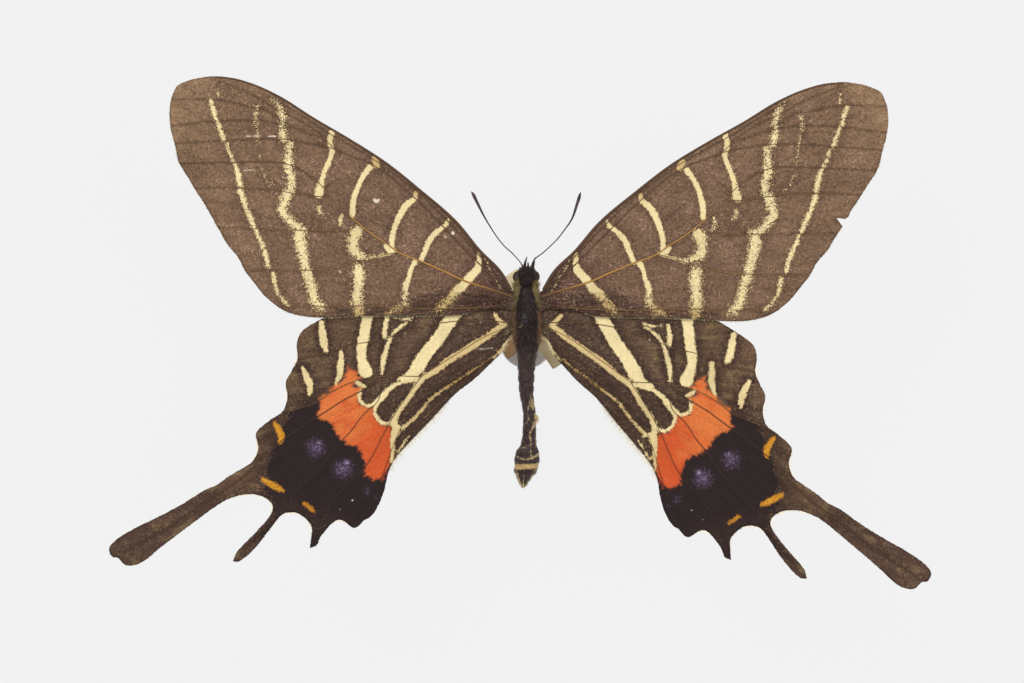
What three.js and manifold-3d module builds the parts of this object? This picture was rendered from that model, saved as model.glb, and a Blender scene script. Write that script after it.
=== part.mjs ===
// A spread swallowtail butterfly on its insect pin, with two blank card labels
// and a small round foot under it.
//
// Millimetres. The origin is the middle of the foot's underside. +X points to the
// butterfly's right wings, +Y to its head and +Z up along the pin.

import * as THREE from 'three';
import { mergeVertices } from 'three/addons/utils/BufferGeometryUtils.js';
import Module from 'manifold-3d';

const wasm = await Module();
wasm.setup();

// Driving dimensions.
const FOOT_RADIUS = 3.85;
const FOOT_HEIGHT = 5;
const FOOT_EDGE = 0.3;
const FOOT_SIDES = 48;
const PIN_X = -0.35;
const PIN_Y = 3.2;
const PIN_RADIUS = 0.25;
const PIN_LENGTH = 38;
const PIN_TIP_Z = 1;
const PIN_POINT = 1.2;
const PIN_HEAD_RADIUS = 0.55;
const PIN_CLEARANCE = 0.05;
const PIN_SIDES = 12;
const LABEL_TURN = THREE.MathUtils.degToRad(34.5);
const LABEL_THICKNESS = 0.3;
const UPPER_LABEL = { x: 1.17, y: 3.18, z: 15, width: 3.9, length: 14.7 };
const LOWER_LABEL = { x: -0.97, y: 2.38, z: 10, width: 8.4, length: 6.2 };
const WING_THICKNESS = 0.25;
const WING_ROOT_Z = 26.3;
const WING_RISE = 0.055;
const WING_DROOP = 0.0006;
const WING_BOX_MARGIN = 0.5;
const FOREWING_CELL = 4;
const FOREWING_CAMBER = 0.6;
const FOREWING_HIND_EDGE_Y = 3.5;
const FOREWING_ROOT_CHORD = 4;
const FOREWING_CHORD_GROWTH = 0.85;
const HINDWING_CELL = 3.6;
const HINDWING_STEP = 0.5;
const HINDWING_FOLD = 1.0;
const HINDWING_FOLD_WIDTH = 4;
const INNER_EDGE_OUT = 2.5;
const INNER_EDGE_ANGLE = THREE.MathUtils.degToRad(44.1);
const TAIL_START = 38;
const TAIL_DROOP = 0.03;
const RIGHT_FOREWING_SWING = THREE.MathUtils.degToRad(1.15);
const RIGHT_HINDWING_SWING = THREE.MathUtils.degToRad(3.6);
const FOREWING_ROOT = [-2.5, 6.1];
const HINDWING_ROOT = [-2.4, -0.5];
const BODY_Z = 25.2;
const BODY_CLEARANCE = 0.1;
const BODY_SIDES = 16;
const LIMB_SIDES = 6;

// Left forewing seen from above: root, front edge, tip, outer edge, hind edge.
const FOREWING_OUTLINE = [
  [-1.2, 4.2], [-1.2, 6.7], [-2.55, 7.5], [-3.8, 9.65], [-6.8, 12.75], [-10, 16.7],
  [-15, 21.2], [-20, 25.2], [-25, 28.4], [-30, 31.35], [-35, 34.5], [-38, 35.9],
  [-41.4, 36.9], [-44, 37.1], [-46.3, 36.8], [-47.7, 36.4], [-48.85, 35.8],
  [-49.65, 34.3], [-50, 32.1], [-49.85, 30], [-49.2, 27.3], [-48.7, 25.1],
  [-47.9, 23.7], [-47.2, 22.6], [-46.1, 20.75], [-45, 19.05], [-43.05, 15.55],
  [-41.9, 13.6], [-40.5, 11.85], [-39.35, 9.75], [-38.1, 8.15], [-37.1, 6.8],
  [-36, 5.75], [-35, 4.95], [-33.7, 4.2], [-31.3, 3.55], [-28.7, 3.35], [-25, 3.5],
  [-20, 3.6], [-13, 3.6], [-9.5, 3.7], [-8, 4.1], [-5, 4.5], [-3.3, 4.6],
];

// A small piece is torn out of the right forewing's outer edge.
const TORN_NICK = [[-44.55, 18.15], [-43, 18.1], [-43.9, 16.95]];
const NICK_AFTER = [-45, 19.05];

// Left hindwing seen from above: root, front edge, outer edge, three tails, inner edge.
const HINDWING_OUTLINE = [
  [-1.2, 0.6], [-1.2, 4.9], [-3.2, 5.1], [-6, 5.5], [-10, 6.2], [-16, 6.6], [-22, 5.8],
  [-26, 4.6], [-29, 3.05], [-30.95, 1.9], [-31.75, 1.15], [-32.25, -0.45],
  [-32.15, -2.4], [-32.95, -4.15], [-33.75, -5.7], [-33.55, -7.7], [-33.75, -8.8],
  [-34.15, -9.7], [-35.95, -11], [-37.8, -12.6], [-37.95, -13], [-37.65, -14.9],
  [-38.4, -16.75], [-40, -17.85], [-41.95, -19], [-43.45, -20.1], [-45, -20.75],
  [-48.5, -22.9], [-52.6, -25.05], [-55, -26.2], [-57.95, -28.15], [-58.55, -29.05],
  [-58.05, -30.2], [-57.4, -30.3], [-56.3, -31.3], [-55.4, -31.4], [-53.75, -30.8],
  [-51.6, -29.05], [-48.5, -26.7], [-45, -24.1], [-43.6, -23.1], [-42.15, -22.2],
  [-40, -21.5], [-38.45, -21.4], [-37.2, -21.65], [-36.2, -22.2], [-35.65, -22.9],
  [-35.65, -23.7], [-36.2, -24.65], [-37.8, -26.5], [-40, -28.75], [-40.7, -29.55],
  [-41.2, -30.8], [-40.5, -30.85], [-39.55, -30.3], [-37.4, -28.1], [-35.75, -25.95],
  [-34.2, -24.2], [-33.3, -23.95], [-32.3, -24], [-31.25, -24.6], [-30.45, -25.45],
  [-30.1, -26.25], [-30.2, -27.2], [-30.4, -28.9], [-29.55, -28.6], [-28.95, -27.4],
  [-28.2, -26.45], [-26.85, -25.15], [-26.05, -25], [-24.1, -26.1], [-23.55, -25.8],
  [-22.8, -25.05], [-22, -24.6], [-20.75, -22.8], [-19.95, -20.65], [-19.4, -18.25],
  [-18.5, -16.5], [-15.9, -13.6], [-12.9, -10.45], [-10.05, -7.35], [-7.55, -5.4],
  [-5, -3], [-3.75, -1.75], [-2.55, 0.1],
];

// Body sections from back to front: y, middle x, middle height, half width, half height.
const ABDOMEN_SECTIONS = [
  [-20.65, -0.56, 23.3, 0.12, 0.12], [-19.9, -0.5, 23.35, 0.6, 0.7],
  [-19.3, -0.42, 23.4, 0.9, 1.05], [-18.3, -0.25, 23.5, 1.5, 1.45],
  [-17.15, -0.03, 23.6, 1.65, 1.6], [-15.6, 0.05, 23.75, 1.62, 1.6],
  [-14.7, 0.2, 23.8, 1.2, 1.4], [-13.9, 0.28, 23.9, 1.02, 1.25],
  [-12, 0.35, 24.1, 0.9, 1.15], [-10, 0.33, 24.3, 0.86, 1.15],
  [-7.35, -0.05, 24.6, 0.95, 1.3], [-5.5, -0.1, 24.8, 1.08, 1.45],
  [-3.6, -0.07, 24.95, 1.2, 1.6], [-2, 0, 25.1, 1.4, 1.8], [-0.7, 0, 25.2, 1.55, 1.9],
];
const THORAX_SECTIONS = [
  [-0.6, 0, BODY_Z, 1.55, 1.9], [0.2, 0, BODY_Z, 1.8, 2.3], [1.5, 0, BODY_Z, 2, 2.55],
  [3, 0, BODY_Z, 2.05, 2.65], [4.5, 0, BODY_Z, 2.05, 2.6], [5.6, 0, BODY_Z, 1.9, 2.3],
  [6.5, 0, BODY_Z, 1.7, 1.95], [7.2, -0.05, BODY_Z, 1.5, 1.6], [7.5, -0.05, BODY_Z, 1.3, 1.35],
];
const HEAD_SECTIONS = [
  [7.6, -0.05, 25.1, 1.05, 1.1], [8.1, -0.05, 25.1, 1.3, 1.3], [8.9, -0.05, 25, 1.4, 1.4],
  [9.6, -0.05, 24.9, 1.3, 1.25], [10.1, -0.05, 24.8, 0.95, 0.95],
  [10.35, -0.05, 24.7, 0.5, 0.5],
];
const EYE_RADIUS = 0.82;
const EYES = [[-1.22, 9, 24.95], [1.08, 9.1, 24.95]];

// The limbs as points x, y, z and a radius.
const PALPS = [
  [[-0.42, 9.6, 24.4, 0.38], [-0.38, 10.4, 24.3, 0.36], [-0.2, 11.1, 24.6, 0.22],
    [0, 11.8, 25, 0.06]],
  [[0.6, 9.6, 24.4, 0.38], [0.75, 10.3, 24.3, 0.36], [0.95, 11, 24.6, 0.24],
    [1.12, 11.7, 25, 0.06]],
];
const ANTENNA_LEFT = [
  [-0.45, 10.1, 25.4, 0.16], [-0.7, 10.7, 25.7, 0.1], [-2.1, 12.4, 26.1, 0.09],
  [-3.1, 13.3, 26.3, 0.09], [-4.1, 14.5, 26.5, 0.1], [-5.1, 16, 26.7, 0.11],
  [-6.1, 17.7, 26.9, 0.15], [-7, 19.5, 27.1, 0.22], [-7.6, 20.7, 27.2, 0.2],
  [-7.8, 21, 27.2, 0.08],
];
const ANTENNA_RIGHT = [
  [0.5, 10.1, 25.4, 0.16], [1.05, 11.5, 25.8, 0.1], [2.2, 12.4, 26, 0.09],
  [3.3, 13.4, 26.2, 0.09], [4.3, 14.4, 26.4, 0.1], [5.3, 15.7, 26.6, 0.11],
  [6.2, 17, 26.8, 0.14], [7, 19.2, 27, 0.22], [7.4, 20.5, 27.1, 0.2],
  [7.5, 20.9, 27.1, 0.08],
];
const LEGS_LEFT = {
  leg_front: [
    [-0.7, 6.1, 23.9, 0.34], [-1, 7, 22.7, 0.32], [-1.1, 7.6, 22, 0.24],
    [-1.05, 6.9, 21.4, 0.2], [-0.95, 5.5, 21.1, 0.17], [-0.9, 4.5, 20.8, 0.12],
    [-0.85, 3.9, 20.6, 0.08],
  ],
  leg_middle: [
    [-0.8, 4.2, 23.3, 0.34], [-1.7, 5, 22.2, 0.32], [-2.4, 5.6, 21.6, 0.24],
    [-2.3, 4.8, 21, 0.2], [-1.95, 2.7, 20.8, 0.17], [-1.6, 0.9, 20.5, 0.12],
    [-1.4, 0.1, 20.3, 0.08],
  ],
  leg_hind: [
    [-0.8, 1.8, 23.3, 0.34], [-1.15, 0.9, 22.4, 0.32], [-1.25, 0.2, 21.9, 0.24],
    [-1.1, -0.8, 21.4, 0.2], [-0.85, -2.6, 21.2, 0.17], [-0.7, -4.4, 20.8, 0.12],
    [-0.62, -5.2, 20.6, 0.08],
  ],
};
const PROBOSCIS = { x: 0.15, y: 10.35, z: 22.85, radius: 0.72, turns: 1.6, thickness: 0.13 };
const PROBOSCIS_CLOSING = 0.62;
const PROBOSCIS_TAPER = 0.5;
const PROBOSCIS_STEPS = 20;

// The main colour of each part.
const WING_BROWN = 0x5f4a3b;
const BODY_BLACK = 0x2b2224;
const LIMB_BROWN = 0x3a2c27;
const LABEL_TAN = 0xb4a57d;
const LABEL_BROWN = 0x846b50;
const FOOT_GREY = 0x8a8b8c;
const PIN_BLACK = 0x1c1a1b;

const group = new THREE.Group();

function addPiece(name, geometry, color, roughness, metalness) {
  const material = new THREE.MeshStandardMaterial({ color, roughness, metalness });
  const mesh = new THREE.Mesh(geometry, material);
  mesh.name = name;
  group.add(mesh);
}

// A closed three.js geometry as a solid that can be joined and cut.
function toSolid(geometry) {
  const bare = new THREE.BufferGeometry();
  bare.setAttribute('position', geometry.getAttribute('position').clone());
  if (geometry.index) {
    bare.setIndex(geometry.index.clone());
  }
  const welded = mergeVertices(bare, 1e-5);
  const mesh = new wasm.Mesh({
    numProp: 3,
    vertProperties: new Float32Array(welded.getAttribute('position').array),
    triVerts: new Uint32Array(welded.index.array),
  });
  return new wasm.Manifold(mesh);
}

function toGeometry(solid) {
  const mesh = solid.getMesh();
  const geometry = new THREE.BufferGeometry();
  geometry.setAttribute('position', new THREE.BufferAttribute(mesh.vertProperties, 3));
  geometry.setIndex(new THREE.BufferAttribute(mesh.triVerts, 1));
  geometry.computeVertexNormals();
  return geometry;
}

// Joins rings of points, all with the same number, into a closed skin with flat ends.
function ringLoft(rings) {
  const sides = rings[0].length;
  const positions = [];
  rings.forEach((ring) => ring.forEach((point) => positions.push(point.x, point.y, point.z)));
  const index = [];
  for (let r = 0; r + 1 < rings.length; r += 1) {
    for (let s = 0; s < sides; s += 1) {
      const a = r * sides + s;
      const b = r * sides + ((s + 1) % sides);
      index.push(a, b, b + sides, a, b + sides, a + sides);
    }
  }
  const last = (rings.length - 1) * sides;
  for (let s = 1; s + 1 < sides; s += 1) {
    index.push(0, s + 1, s);
    index.push(last, last + s, last + s + 1);
  }
  const geometry = new THREE.BufferGeometry();
  geometry.setAttribute('position', new THREE.Float32BufferAttribute(positions, 3));
  geometry.setIndex(index);
  return geometry;
}

// A body part from oval sections stacked along Y. A margin makes every section larger.
function bodySolid(sections, margin = 0) {
  const rings = sections.map(([y, x, z, halfWidth, halfHeight], i) => {
    const atEnd = i === 0 ? -margin : margin;
    const end = i === 0 || i === sections.length - 1 ? atEnd : 0;
    const ring = [];
    for (let s = 0; s < BODY_SIDES; s += 1) {
      const angle = (2 * Math.PI * s) / BODY_SIDES;
      ring.push(new THREE.Vector3(
        x - (halfWidth + margin) * Math.cos(angle),
        y + end,
        z + (halfHeight + margin) * Math.sin(angle),
      ));
    }
    return ring;
  });
  return toSolid(ringLoft(rings));
}

// A limb: a round section carried along a line of points x, y, z, radius.
function limbSolid(points) {
  const places = points.map(([x, y, z]) => new THREE.Vector3(x, y, z));
  const side = new THREE.Vector3();
  const rings = points.map(([, , , radius], i) => {
    const before = places[Math.max(i - 1, 0)];
    const after = places[Math.min(i + 1, places.length - 1)];
    const along = after.clone().sub(before).normalize();
    if (i === 0) {
      const upright = Math.abs(along.z) > 0.9;
      const reference = upright ? new THREE.Vector3(1, 0, 0) : new THREE.Vector3(0, 0, 1);
      side.crossVectors(reference, along).normalize();
    } else {
      side.addScaledVector(along, -side.dot(along)).normalize();
    }
    const across = new THREE.Vector3().crossVectors(along, side);
    const ring = [];
    for (let s = 0; s < LIMB_SIDES; s += 1) {
      const angle = (2 * Math.PI * s) / LIMB_SIDES;
      ring.push(places[i].clone()
        .addScaledVector(side, radius * Math.cos(angle))
        .addScaledVector(across, radius * Math.sin(angle)));
    }
    return ring;
  });
  return toSolid(ringLoft(rings));
}

function mirrored(points) {
  return points.map(([x, ...rest]) => [-x, ...rest]);
}

// Height of the middle of the spread wings, by the distance out from the body.
function spreadHeight(out) {
  return WING_ROOT_Z + WING_RISE * out - WING_DROOP * out * out;
}

// The forewing is arched a little between its hind edge and its front edge.
function forewingHeight(x, y) {
  const out = Math.abs(x);
  const length = FOREWING_CHORD_GROWTH * out + FOREWING_ROOT_CHORD;
  const chord = THREE.MathUtils.clamp((y - FOREWING_HIND_EDGE_Y) / length, 0, 1);
  const arch = THREE.MathUtils.smoothstep(out, 0, 20);
  return spreadHeight(out) + FOREWING_CAMBER * arch * Math.sin(Math.PI * chord);
}

// The hindwing lies under the forewing. Its inner edge is folded down beside the
// abdomen, and its tails hang a little.
function hindwingHeight(x, y) {
  const out = Math.abs(x);
  const sideways = Math.cos(INNER_EDGE_ANGLE) * (out - INNER_EDGE_OUT);
  const fromInnerEdge = sideways + Math.sin(INNER_EDGE_ANGLE) * y;
  const beside = THREE.MathUtils.clamp(1 - fromInnerEdge / HINDWING_FOLD_WIDTH, 0, 1.2);
  const behindRoot = THREE.MathUtils.smoothstep(-y, 0, 5) * (1 - THREE.MathUtils.smoothstep(-y, 15, 20));
  const fold = HINDWING_FOLD * beside * beside * behindRoot;
  const tail = TAIL_DROOP * Math.max(out - TAIL_START, 0);
  return spreadHeight(out) - HINDWING_STEP - fold - tail;
}

// A thin curved sheet over the outline's box, cut to the outline.
function wingSolid(outline, heightAt, cellSize) {
  const box = new THREE.Box2();
  outline.forEach(([x, y]) => box.expandByPoint(new THREE.Vector2(x, y)));
  box.expandByScalar(WING_BOX_MARGIN);
  const size = box.getSize(new THREE.Vector2());
  const middle = box.getCenter(new THREE.Vector2());
  const columns = Math.ceil(size.x / cellSize);
  const rows = Math.ceil(size.y / cellSize);
  const sheet = new THREE.BoxGeometry(size.x, size.y, WING_THICKNESS, columns, rows, 1);
  sheet.translate(middle.x, middle.y, 0);
  const places = sheet.getAttribute('position');
  for (let i = 0; i < places.count; i += 1) {
    places.setZ(i, places.getZ(i) + heightAt(places.getX(i), places.getY(i)));
  }
  const shape = new THREE.Shape(outline.map(([x, y]) => new THREE.Vector2(x, y)));
  const cutter = new THREE.ExtrudeGeometry(shape, { depth: 2 * WING_ROOT_Z, bevelEnabled: false });
  return toSolid(sheet).intersect(toSolid(cutter));
}

// The right wing is the left one mirrored, then swung back a little about its root.
function rightWing(solid, root, swing) {
  return solid
    .mirror([1, 0, 0])
    .translate([root[0], -root[1], 0])
    .rotate([0, 0, -THREE.MathUtils.radToDeg(swing)])
    .translate([-root[0], root[1], 0]);
}

function pinHole(bottom, top) {
  const radius = PIN_RADIUS + PIN_CLEARANCE;
  const hole = new THREE.CylinderGeometry(radius, radius, top - bottom, PIN_SIDES);
  hole.rotateX(Math.PI / 2);
  hole.translate(PIN_X, PIN_Y, (top + bottom) / 2);
  return toSolid(hole);
}

function labelSolid(label) {
  const card = new THREE.BoxGeometry(label.width, label.length, LABEL_THICKNESS);
  card.rotateZ(LABEL_TURN);
  card.translate(label.x, label.y, label.z);
  return toSolid(card).subtract(pinHole(label.z - 1, label.z + 1));
}

function footSolid() {
  const profile = [
    new THREE.Vector2(0, 0),
    new THREE.Vector2(FOOT_RADIUS, 0),
    new THREE.Vector2(FOOT_RADIUS, FOOT_HEIGHT - FOOT_EDGE),
    new THREE.Vector2(FOOT_RADIUS - FOOT_EDGE, FOOT_HEIGHT),
    new THREE.Vector2(0, FOOT_HEIGHT),
  ];
  const disc = new THREE.LatheGeometry(profile, FOOT_SIDES);
  disc.rotateX(Math.PI / 2);
  const bottom = PIN_TIP_Z - 2 * PIN_CLEARANCE;
  return toSolid(disc).subtract(pinHole(bottom, FOOT_HEIGHT + 1));
}

// The pin's point, shaft and small ball head, as one turned piece.
function pinGeometry() {
  const headSteps = 8;
  const ballZ = PIN_LENGTH - PIN_HEAD_RADIUS;
  const neckAngle = Math.asin(PIN_RADIUS / PIN_HEAD_RADIUS);
  const profile = [new THREE.Vector2(0, 0), new THREE.Vector2(PIN_RADIUS, PIN_POINT)];
  for (let i = 0; i < headSteps; i += 1) {
    const angle = neckAngle + ((Math.PI - neckAngle) * i) / headSteps;
    profile.push(new THREE.Vector2(
      PIN_HEAD_RADIUS * Math.sin(angle),
      ballZ - PIN_HEAD_RADIUS * Math.cos(angle),
    ));
  }
  profile.push(new THREE.Vector2(0, PIN_LENGTH));
  const pin = new THREE.LatheGeometry(profile, PIN_SIDES);
  pin.rotateX(Math.PI / 2);
  pin.translate(PIN_X, PIN_Y, PIN_TIP_Z);
  return pin;
}

// The feeding tube, rolled up under the head.
function proboscisPoints() {
  const points = [];
  for (let i = 0; i <= PROBOSCIS_STEPS; i += 1) {
    const share = i / PROBOSCIS_STEPS;
    const angle = Math.PI / 2 + 2 * Math.PI * PROBOSCIS.turns * share;
    const radius = PROBOSCIS.radius * (1 - PROBOSCIS_CLOSING * share);
    points.push([
      PROBOSCIS.x,
      PROBOSCIS.y + radius * Math.cos(angle),
      PROBOSCIS.z + radius * Math.sin(angle),
      PROBOSCIS.thickness * (1 - PROBOSCIS_TAPER * share),
    ]);
  }
  return points;
}

function headSolid() {
  let head = bodySolid(HEAD_SECTIONS);
  EYES.forEach(([x, y, z]) => {
    const eye = new THREE.SphereGeometry(EYE_RADIUS, 12, 8);
    eye.translate(x, y, z);
    head = head.add(toSolid(eye));
  });
  PALPS.forEach((palp) => {
    head = head.add(limbSolid(palp));
  });
  return head;
}

function headRoom() {
  let room = bodySolid(HEAD_SECTIONS, BODY_CLEARANCE);
  PALPS.forEach((palp) => {
    const wider = palp.map(([x, y, z, radius]) => [x, y, z, radius + BODY_CLEARANCE]);
    room = room.add(limbSolid(wider));
  });
  return room;
}

const thoraxRoom = bodySolid(THORAX_SECTIONS, BODY_CLEARANCE);
const abdomenRoom = bodySolid(ABDOMEN_SECTIONS, BODY_CLEARANCE);
const bodyRoom = thoraxRoom.add(abdomenRoom);

addPiece('foot', toGeometry(footSolid()), FOOT_GREY, 0.55, 0.6);
addPiece('pin', pinGeometry(), PIN_BLACK, 0.35, 0.4);
addPiece('label_lower', toGeometry(labelSolid(LOWER_LABEL)), LABEL_BROWN, 0.9, 0);
addPiece('label_upper', toGeometry(labelSolid(UPPER_LABEL)), LABEL_TAN, 0.9, 0);

const thorax = bodySolid(THORAX_SECTIONS).subtract(pinHole(0, PIN_LENGTH));
addPiece('thorax', toGeometry(thorax), BODY_BLACK, 0.95, 0);
addPiece('abdomen', toGeometry(bodySolid(ABDOMEN_SECTIONS)), BODY_BLACK, 0.95, 0);
addPiece('head', toGeometry(headSolid()), BODY_BLACK, 0.9, 0);

const headSpace = headRoom();
const antennaLeft = limbSolid(ANTENNA_LEFT).subtract(headSpace);
const antennaRight = limbSolid(ANTENNA_RIGHT).subtract(headSpace);
const proboscis = limbSolid(proboscisPoints()).subtract(headSpace);
addPiece('antenna_left', toGeometry(antennaLeft), LIMB_BROWN, 0.8, 0);
addPiece('antenna_right', toGeometry(antennaRight), LIMB_BROWN, 0.8, 0);
addPiece('proboscis', toGeometry(proboscis), LIMB_BROWN, 0.7, 0);

Object.entries(LEGS_LEFT).forEach(([name, points]) => {
  const left = limbSolid(points).subtract(bodyRoom);
  const right = limbSolid(mirrored(points)).subtract(bodyRoom);
  addPiece(`${name}_left`, toGeometry(left), LIMB_BROWN, 0.8, 0);
  addPiece(`${name}_right`, toGeometry(right), LIMB_BROWN, 0.8, 0);
});

const nickPlace = FOREWING_OUTLINE.findIndex(([x, y]) => x === NICK_AFTER[0] && y === NICK_AFTER[1]);
const nickedOutline = FOREWING_OUTLINE.toSpliced(nickPlace + 1, 0, ...TORN_NICK);
const forewingLeft = wingSolid(FOREWING_OUTLINE, forewingHeight, FOREWING_CELL);
const forewingRight = rightWing(
  wingSolid(nickedOutline, forewingHeight, FOREWING_CELL),
  FOREWING_ROOT,
  RIGHT_FOREWING_SWING,
);
const hindwingLeft = wingSolid(HINDWING_OUTLINE, hindwingHeight, HINDWING_CELL);
const hindwingRight = rightWing(
  wingSolid(HINDWING_OUTLINE, hindwingHeight, HINDWING_CELL),
  HINDWING_ROOT,
  RIGHT_HINDWING_SWING,
);
addPiece('forewing_left', toGeometry(forewingLeft.subtract(bodyRoom)), WING_BROWN, 0.75, 0);
addPiece('forewing_right', toGeometry(forewingRight.subtract(bodyRoom)), WING_BROWN, 0.75, 0);
addPiece('hindwing_left', toGeometry(hindwingLeft.subtract(bodyRoom)), WING_BROWN, 0.75, 0);
addPiece('hindwing_right', toGeometry(hindwingRight.subtract(bodyRoom)), WING_BROWN, 0.75, 0);

export default group;
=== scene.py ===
import math

import bpy
import numpy as np
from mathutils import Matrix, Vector
from mathutils.geometry import delaunay_2d_cdt


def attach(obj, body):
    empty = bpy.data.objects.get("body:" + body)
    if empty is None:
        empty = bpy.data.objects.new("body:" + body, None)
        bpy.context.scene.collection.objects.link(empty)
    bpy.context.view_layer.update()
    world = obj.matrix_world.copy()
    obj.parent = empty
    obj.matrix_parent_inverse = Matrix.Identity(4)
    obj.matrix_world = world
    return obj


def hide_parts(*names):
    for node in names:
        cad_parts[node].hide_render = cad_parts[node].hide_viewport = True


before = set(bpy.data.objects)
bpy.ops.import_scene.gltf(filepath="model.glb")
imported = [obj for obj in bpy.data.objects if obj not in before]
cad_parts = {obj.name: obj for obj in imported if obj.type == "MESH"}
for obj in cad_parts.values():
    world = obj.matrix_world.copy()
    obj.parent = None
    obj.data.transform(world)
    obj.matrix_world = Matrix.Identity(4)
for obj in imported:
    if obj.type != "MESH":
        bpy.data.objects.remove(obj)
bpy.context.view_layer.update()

# A spread swallowtail butterfly on its insect pin, with two blank card labels and a
# small round foot under it. Shapes are worked out in millimetres: +X to the
# butterfly's right, +Y to its head, +Z up. The left wings are listed, and
# the right ones are the same, mirrored and swung back a little.

MM = 0.001
SEED = 7

PIN_X, PIN_Y = -0.35, 3.2
PIN_RADIUS = 0.25
PIN_LENGTH = 38.0
PIN_TIP_Z = 1.0
PIN_POINT = 1.2
PIN_HEAD_RADIUS = 0.55
FOOT_RADIUS = 3.85
FOOT_HEIGHT = 5.0
FOOT_EDGE = 0.3
LABEL_TURN = math.radians(34.5)
LABEL_THICKNESS = 0.26
UPPER_LABEL = {"x": 1.17, "y": 3.18, "z": 15.0, "width": 3.9, "length": 14.7}
LOWER_LABEL = {"x": -0.97, "y": 2.38, "z": 10.0, "width": 8.4, "length": 6.2}

WING_ROOT_Z = 26.3
WING_RISE = 0.055
WING_DROOP = 0.0006
FOREWING_CAMBER = 0.6
FOREWING_HIND_EDGE_Y = 3.5
FOREWING_ROOT_CHORD = 4.0
FOREWING_CHORD_GROWTH = 0.85
HINDWING_STEP = 0.5
HINDWING_FOLD = 1.0
HINDWING_FOLD_WIDTH = 4.0
INNER_EDGE_OUT = 2.5
INNER_EDGE_FACING = (0.718, 0.696)
TAIL_START = 38.0
TAIL_DROOP = 0.03
MEMBRANE = 0.12
MESH_STEP = 0.27
MESH_ROW_SHARE = 0.87
MESH_WOBBLE = 0.02
OUTLINE_STEP = 0.25
OUTLINE_WOBBLE = 0.018
SHARP_CORNER = math.radians(62)
RIGHT_FOREWING_SWING = math.radians(1.15)
RIGHT_HINDWING_SWING = math.radians(3.6)
FOREWING_ROOT = np.array([-2.5, 6.1])
HINDWING_ROOT = np.array([-2.4, -0.5])
BODY_Z = 25.2
SEGMENT_LENGTH = 1.45

# Fineness of the meshes.
BODY_SIDES = 40
LIMB_SIDES = 12
VEIN_SIDES = 6
FOOT_SIDES = 72
CARD_POINTS = 28
VEIN_RINGS = 60
FRONT_EDGE_RINGS = 90
HAIR_CORNERS = 5

# Numbers of hairs and scales.
RIM_SCALES_PER_STEP = 4
INNER_FRINGE_HAIRS = 900
WING_ROOT_HAIRS = 520
THORAX_HAIRS = 9500
ABDOMEN_HAIRS = 6500
HEAD_HAIRS = 3600
PALP_HAIRS = 360
SPINES_PER_STEP = 5

# Distances farther than this from a stroke, in millimetres, needn't be told apart, and
# this many places are measured at once.
FAR_AWAY = 9.0
PLACES_AT_ONCE = 2000

# Places of the finishes in a wing's list and in the lists of the other pieces.
SCALES, VEINS, FRINGE = 0, 1, 2
SKIN, COAT, SIDE_COAT = 0, 1, 2
EYES_FINISH = 2

# Camera, floor and light. The view's width is in millimetres at the wings' height.
CAMERA_X = -2.1
CAMERA_RISE = 900.0
WING_MIDDLE_RISE = 0.9
VIEW_WIDTH = 143.36
SENSOR_WIDTH = 36
FLOOR_HALF_WIDTH = 0.6
FLOOR_DROP = 0.00002
FLOOR_GLOW = 0.98
AIR_LIGHT = 0.55
# Name, place and size in metres, and power.
LIGHTS = [
    ("key_light", (-0.35, 0.45, 0.75), 0.5, 4.6),
    ("fill_light", (0.5, 0.1, 0.7), 0.6, 2.4),
]

FOREWING_OUTLINE = [
    (-1.7, 4.2), (-1.7, 6.7), (-2.55, 7.5), (-3.8, 9.65), (-6.8, 12.75), (-10, 16.7),
    (-15, 21.2), (-20, 25.2), (-25, 28.4), (-30, 31.35), (-35, 34.5), (-38, 35.9),
    (-41.4, 36.9), (-44, 37.1), (-46.3, 36.8), (-47.7, 36.4), (-48.85, 35.8),
    (-49.65, 34.3), (-50, 32.1), (-49.85, 30), (-49.2, 27.3), (-48.7, 25.1),
    (-47.9, 23.7), (-47.2, 22.6), (-46.1, 20.75), (-45, 19.05), (-43.05, 15.55),
    (-41.9, 13.6), (-40.5, 11.85), (-39.35, 9.75), (-38.1, 8.15), (-37.1, 6.8),
    (-36, 5.75), (-35, 4.95), (-33.7, 4.2), (-31.3, 3.55), (-28.7, 3.35), (-25, 3.5),
    (-20, 3.6), (-13, 3.6), (-9.5, 3.7), (-8, 4.1), (-5, 4.5), (-3.3, 4.6),
]
TORN_NICK = [(-44.55, 18.15), (-43, 18.1), (-43.9, 16.95)]
NICK_AFTER = (-45, 19.05)
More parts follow.
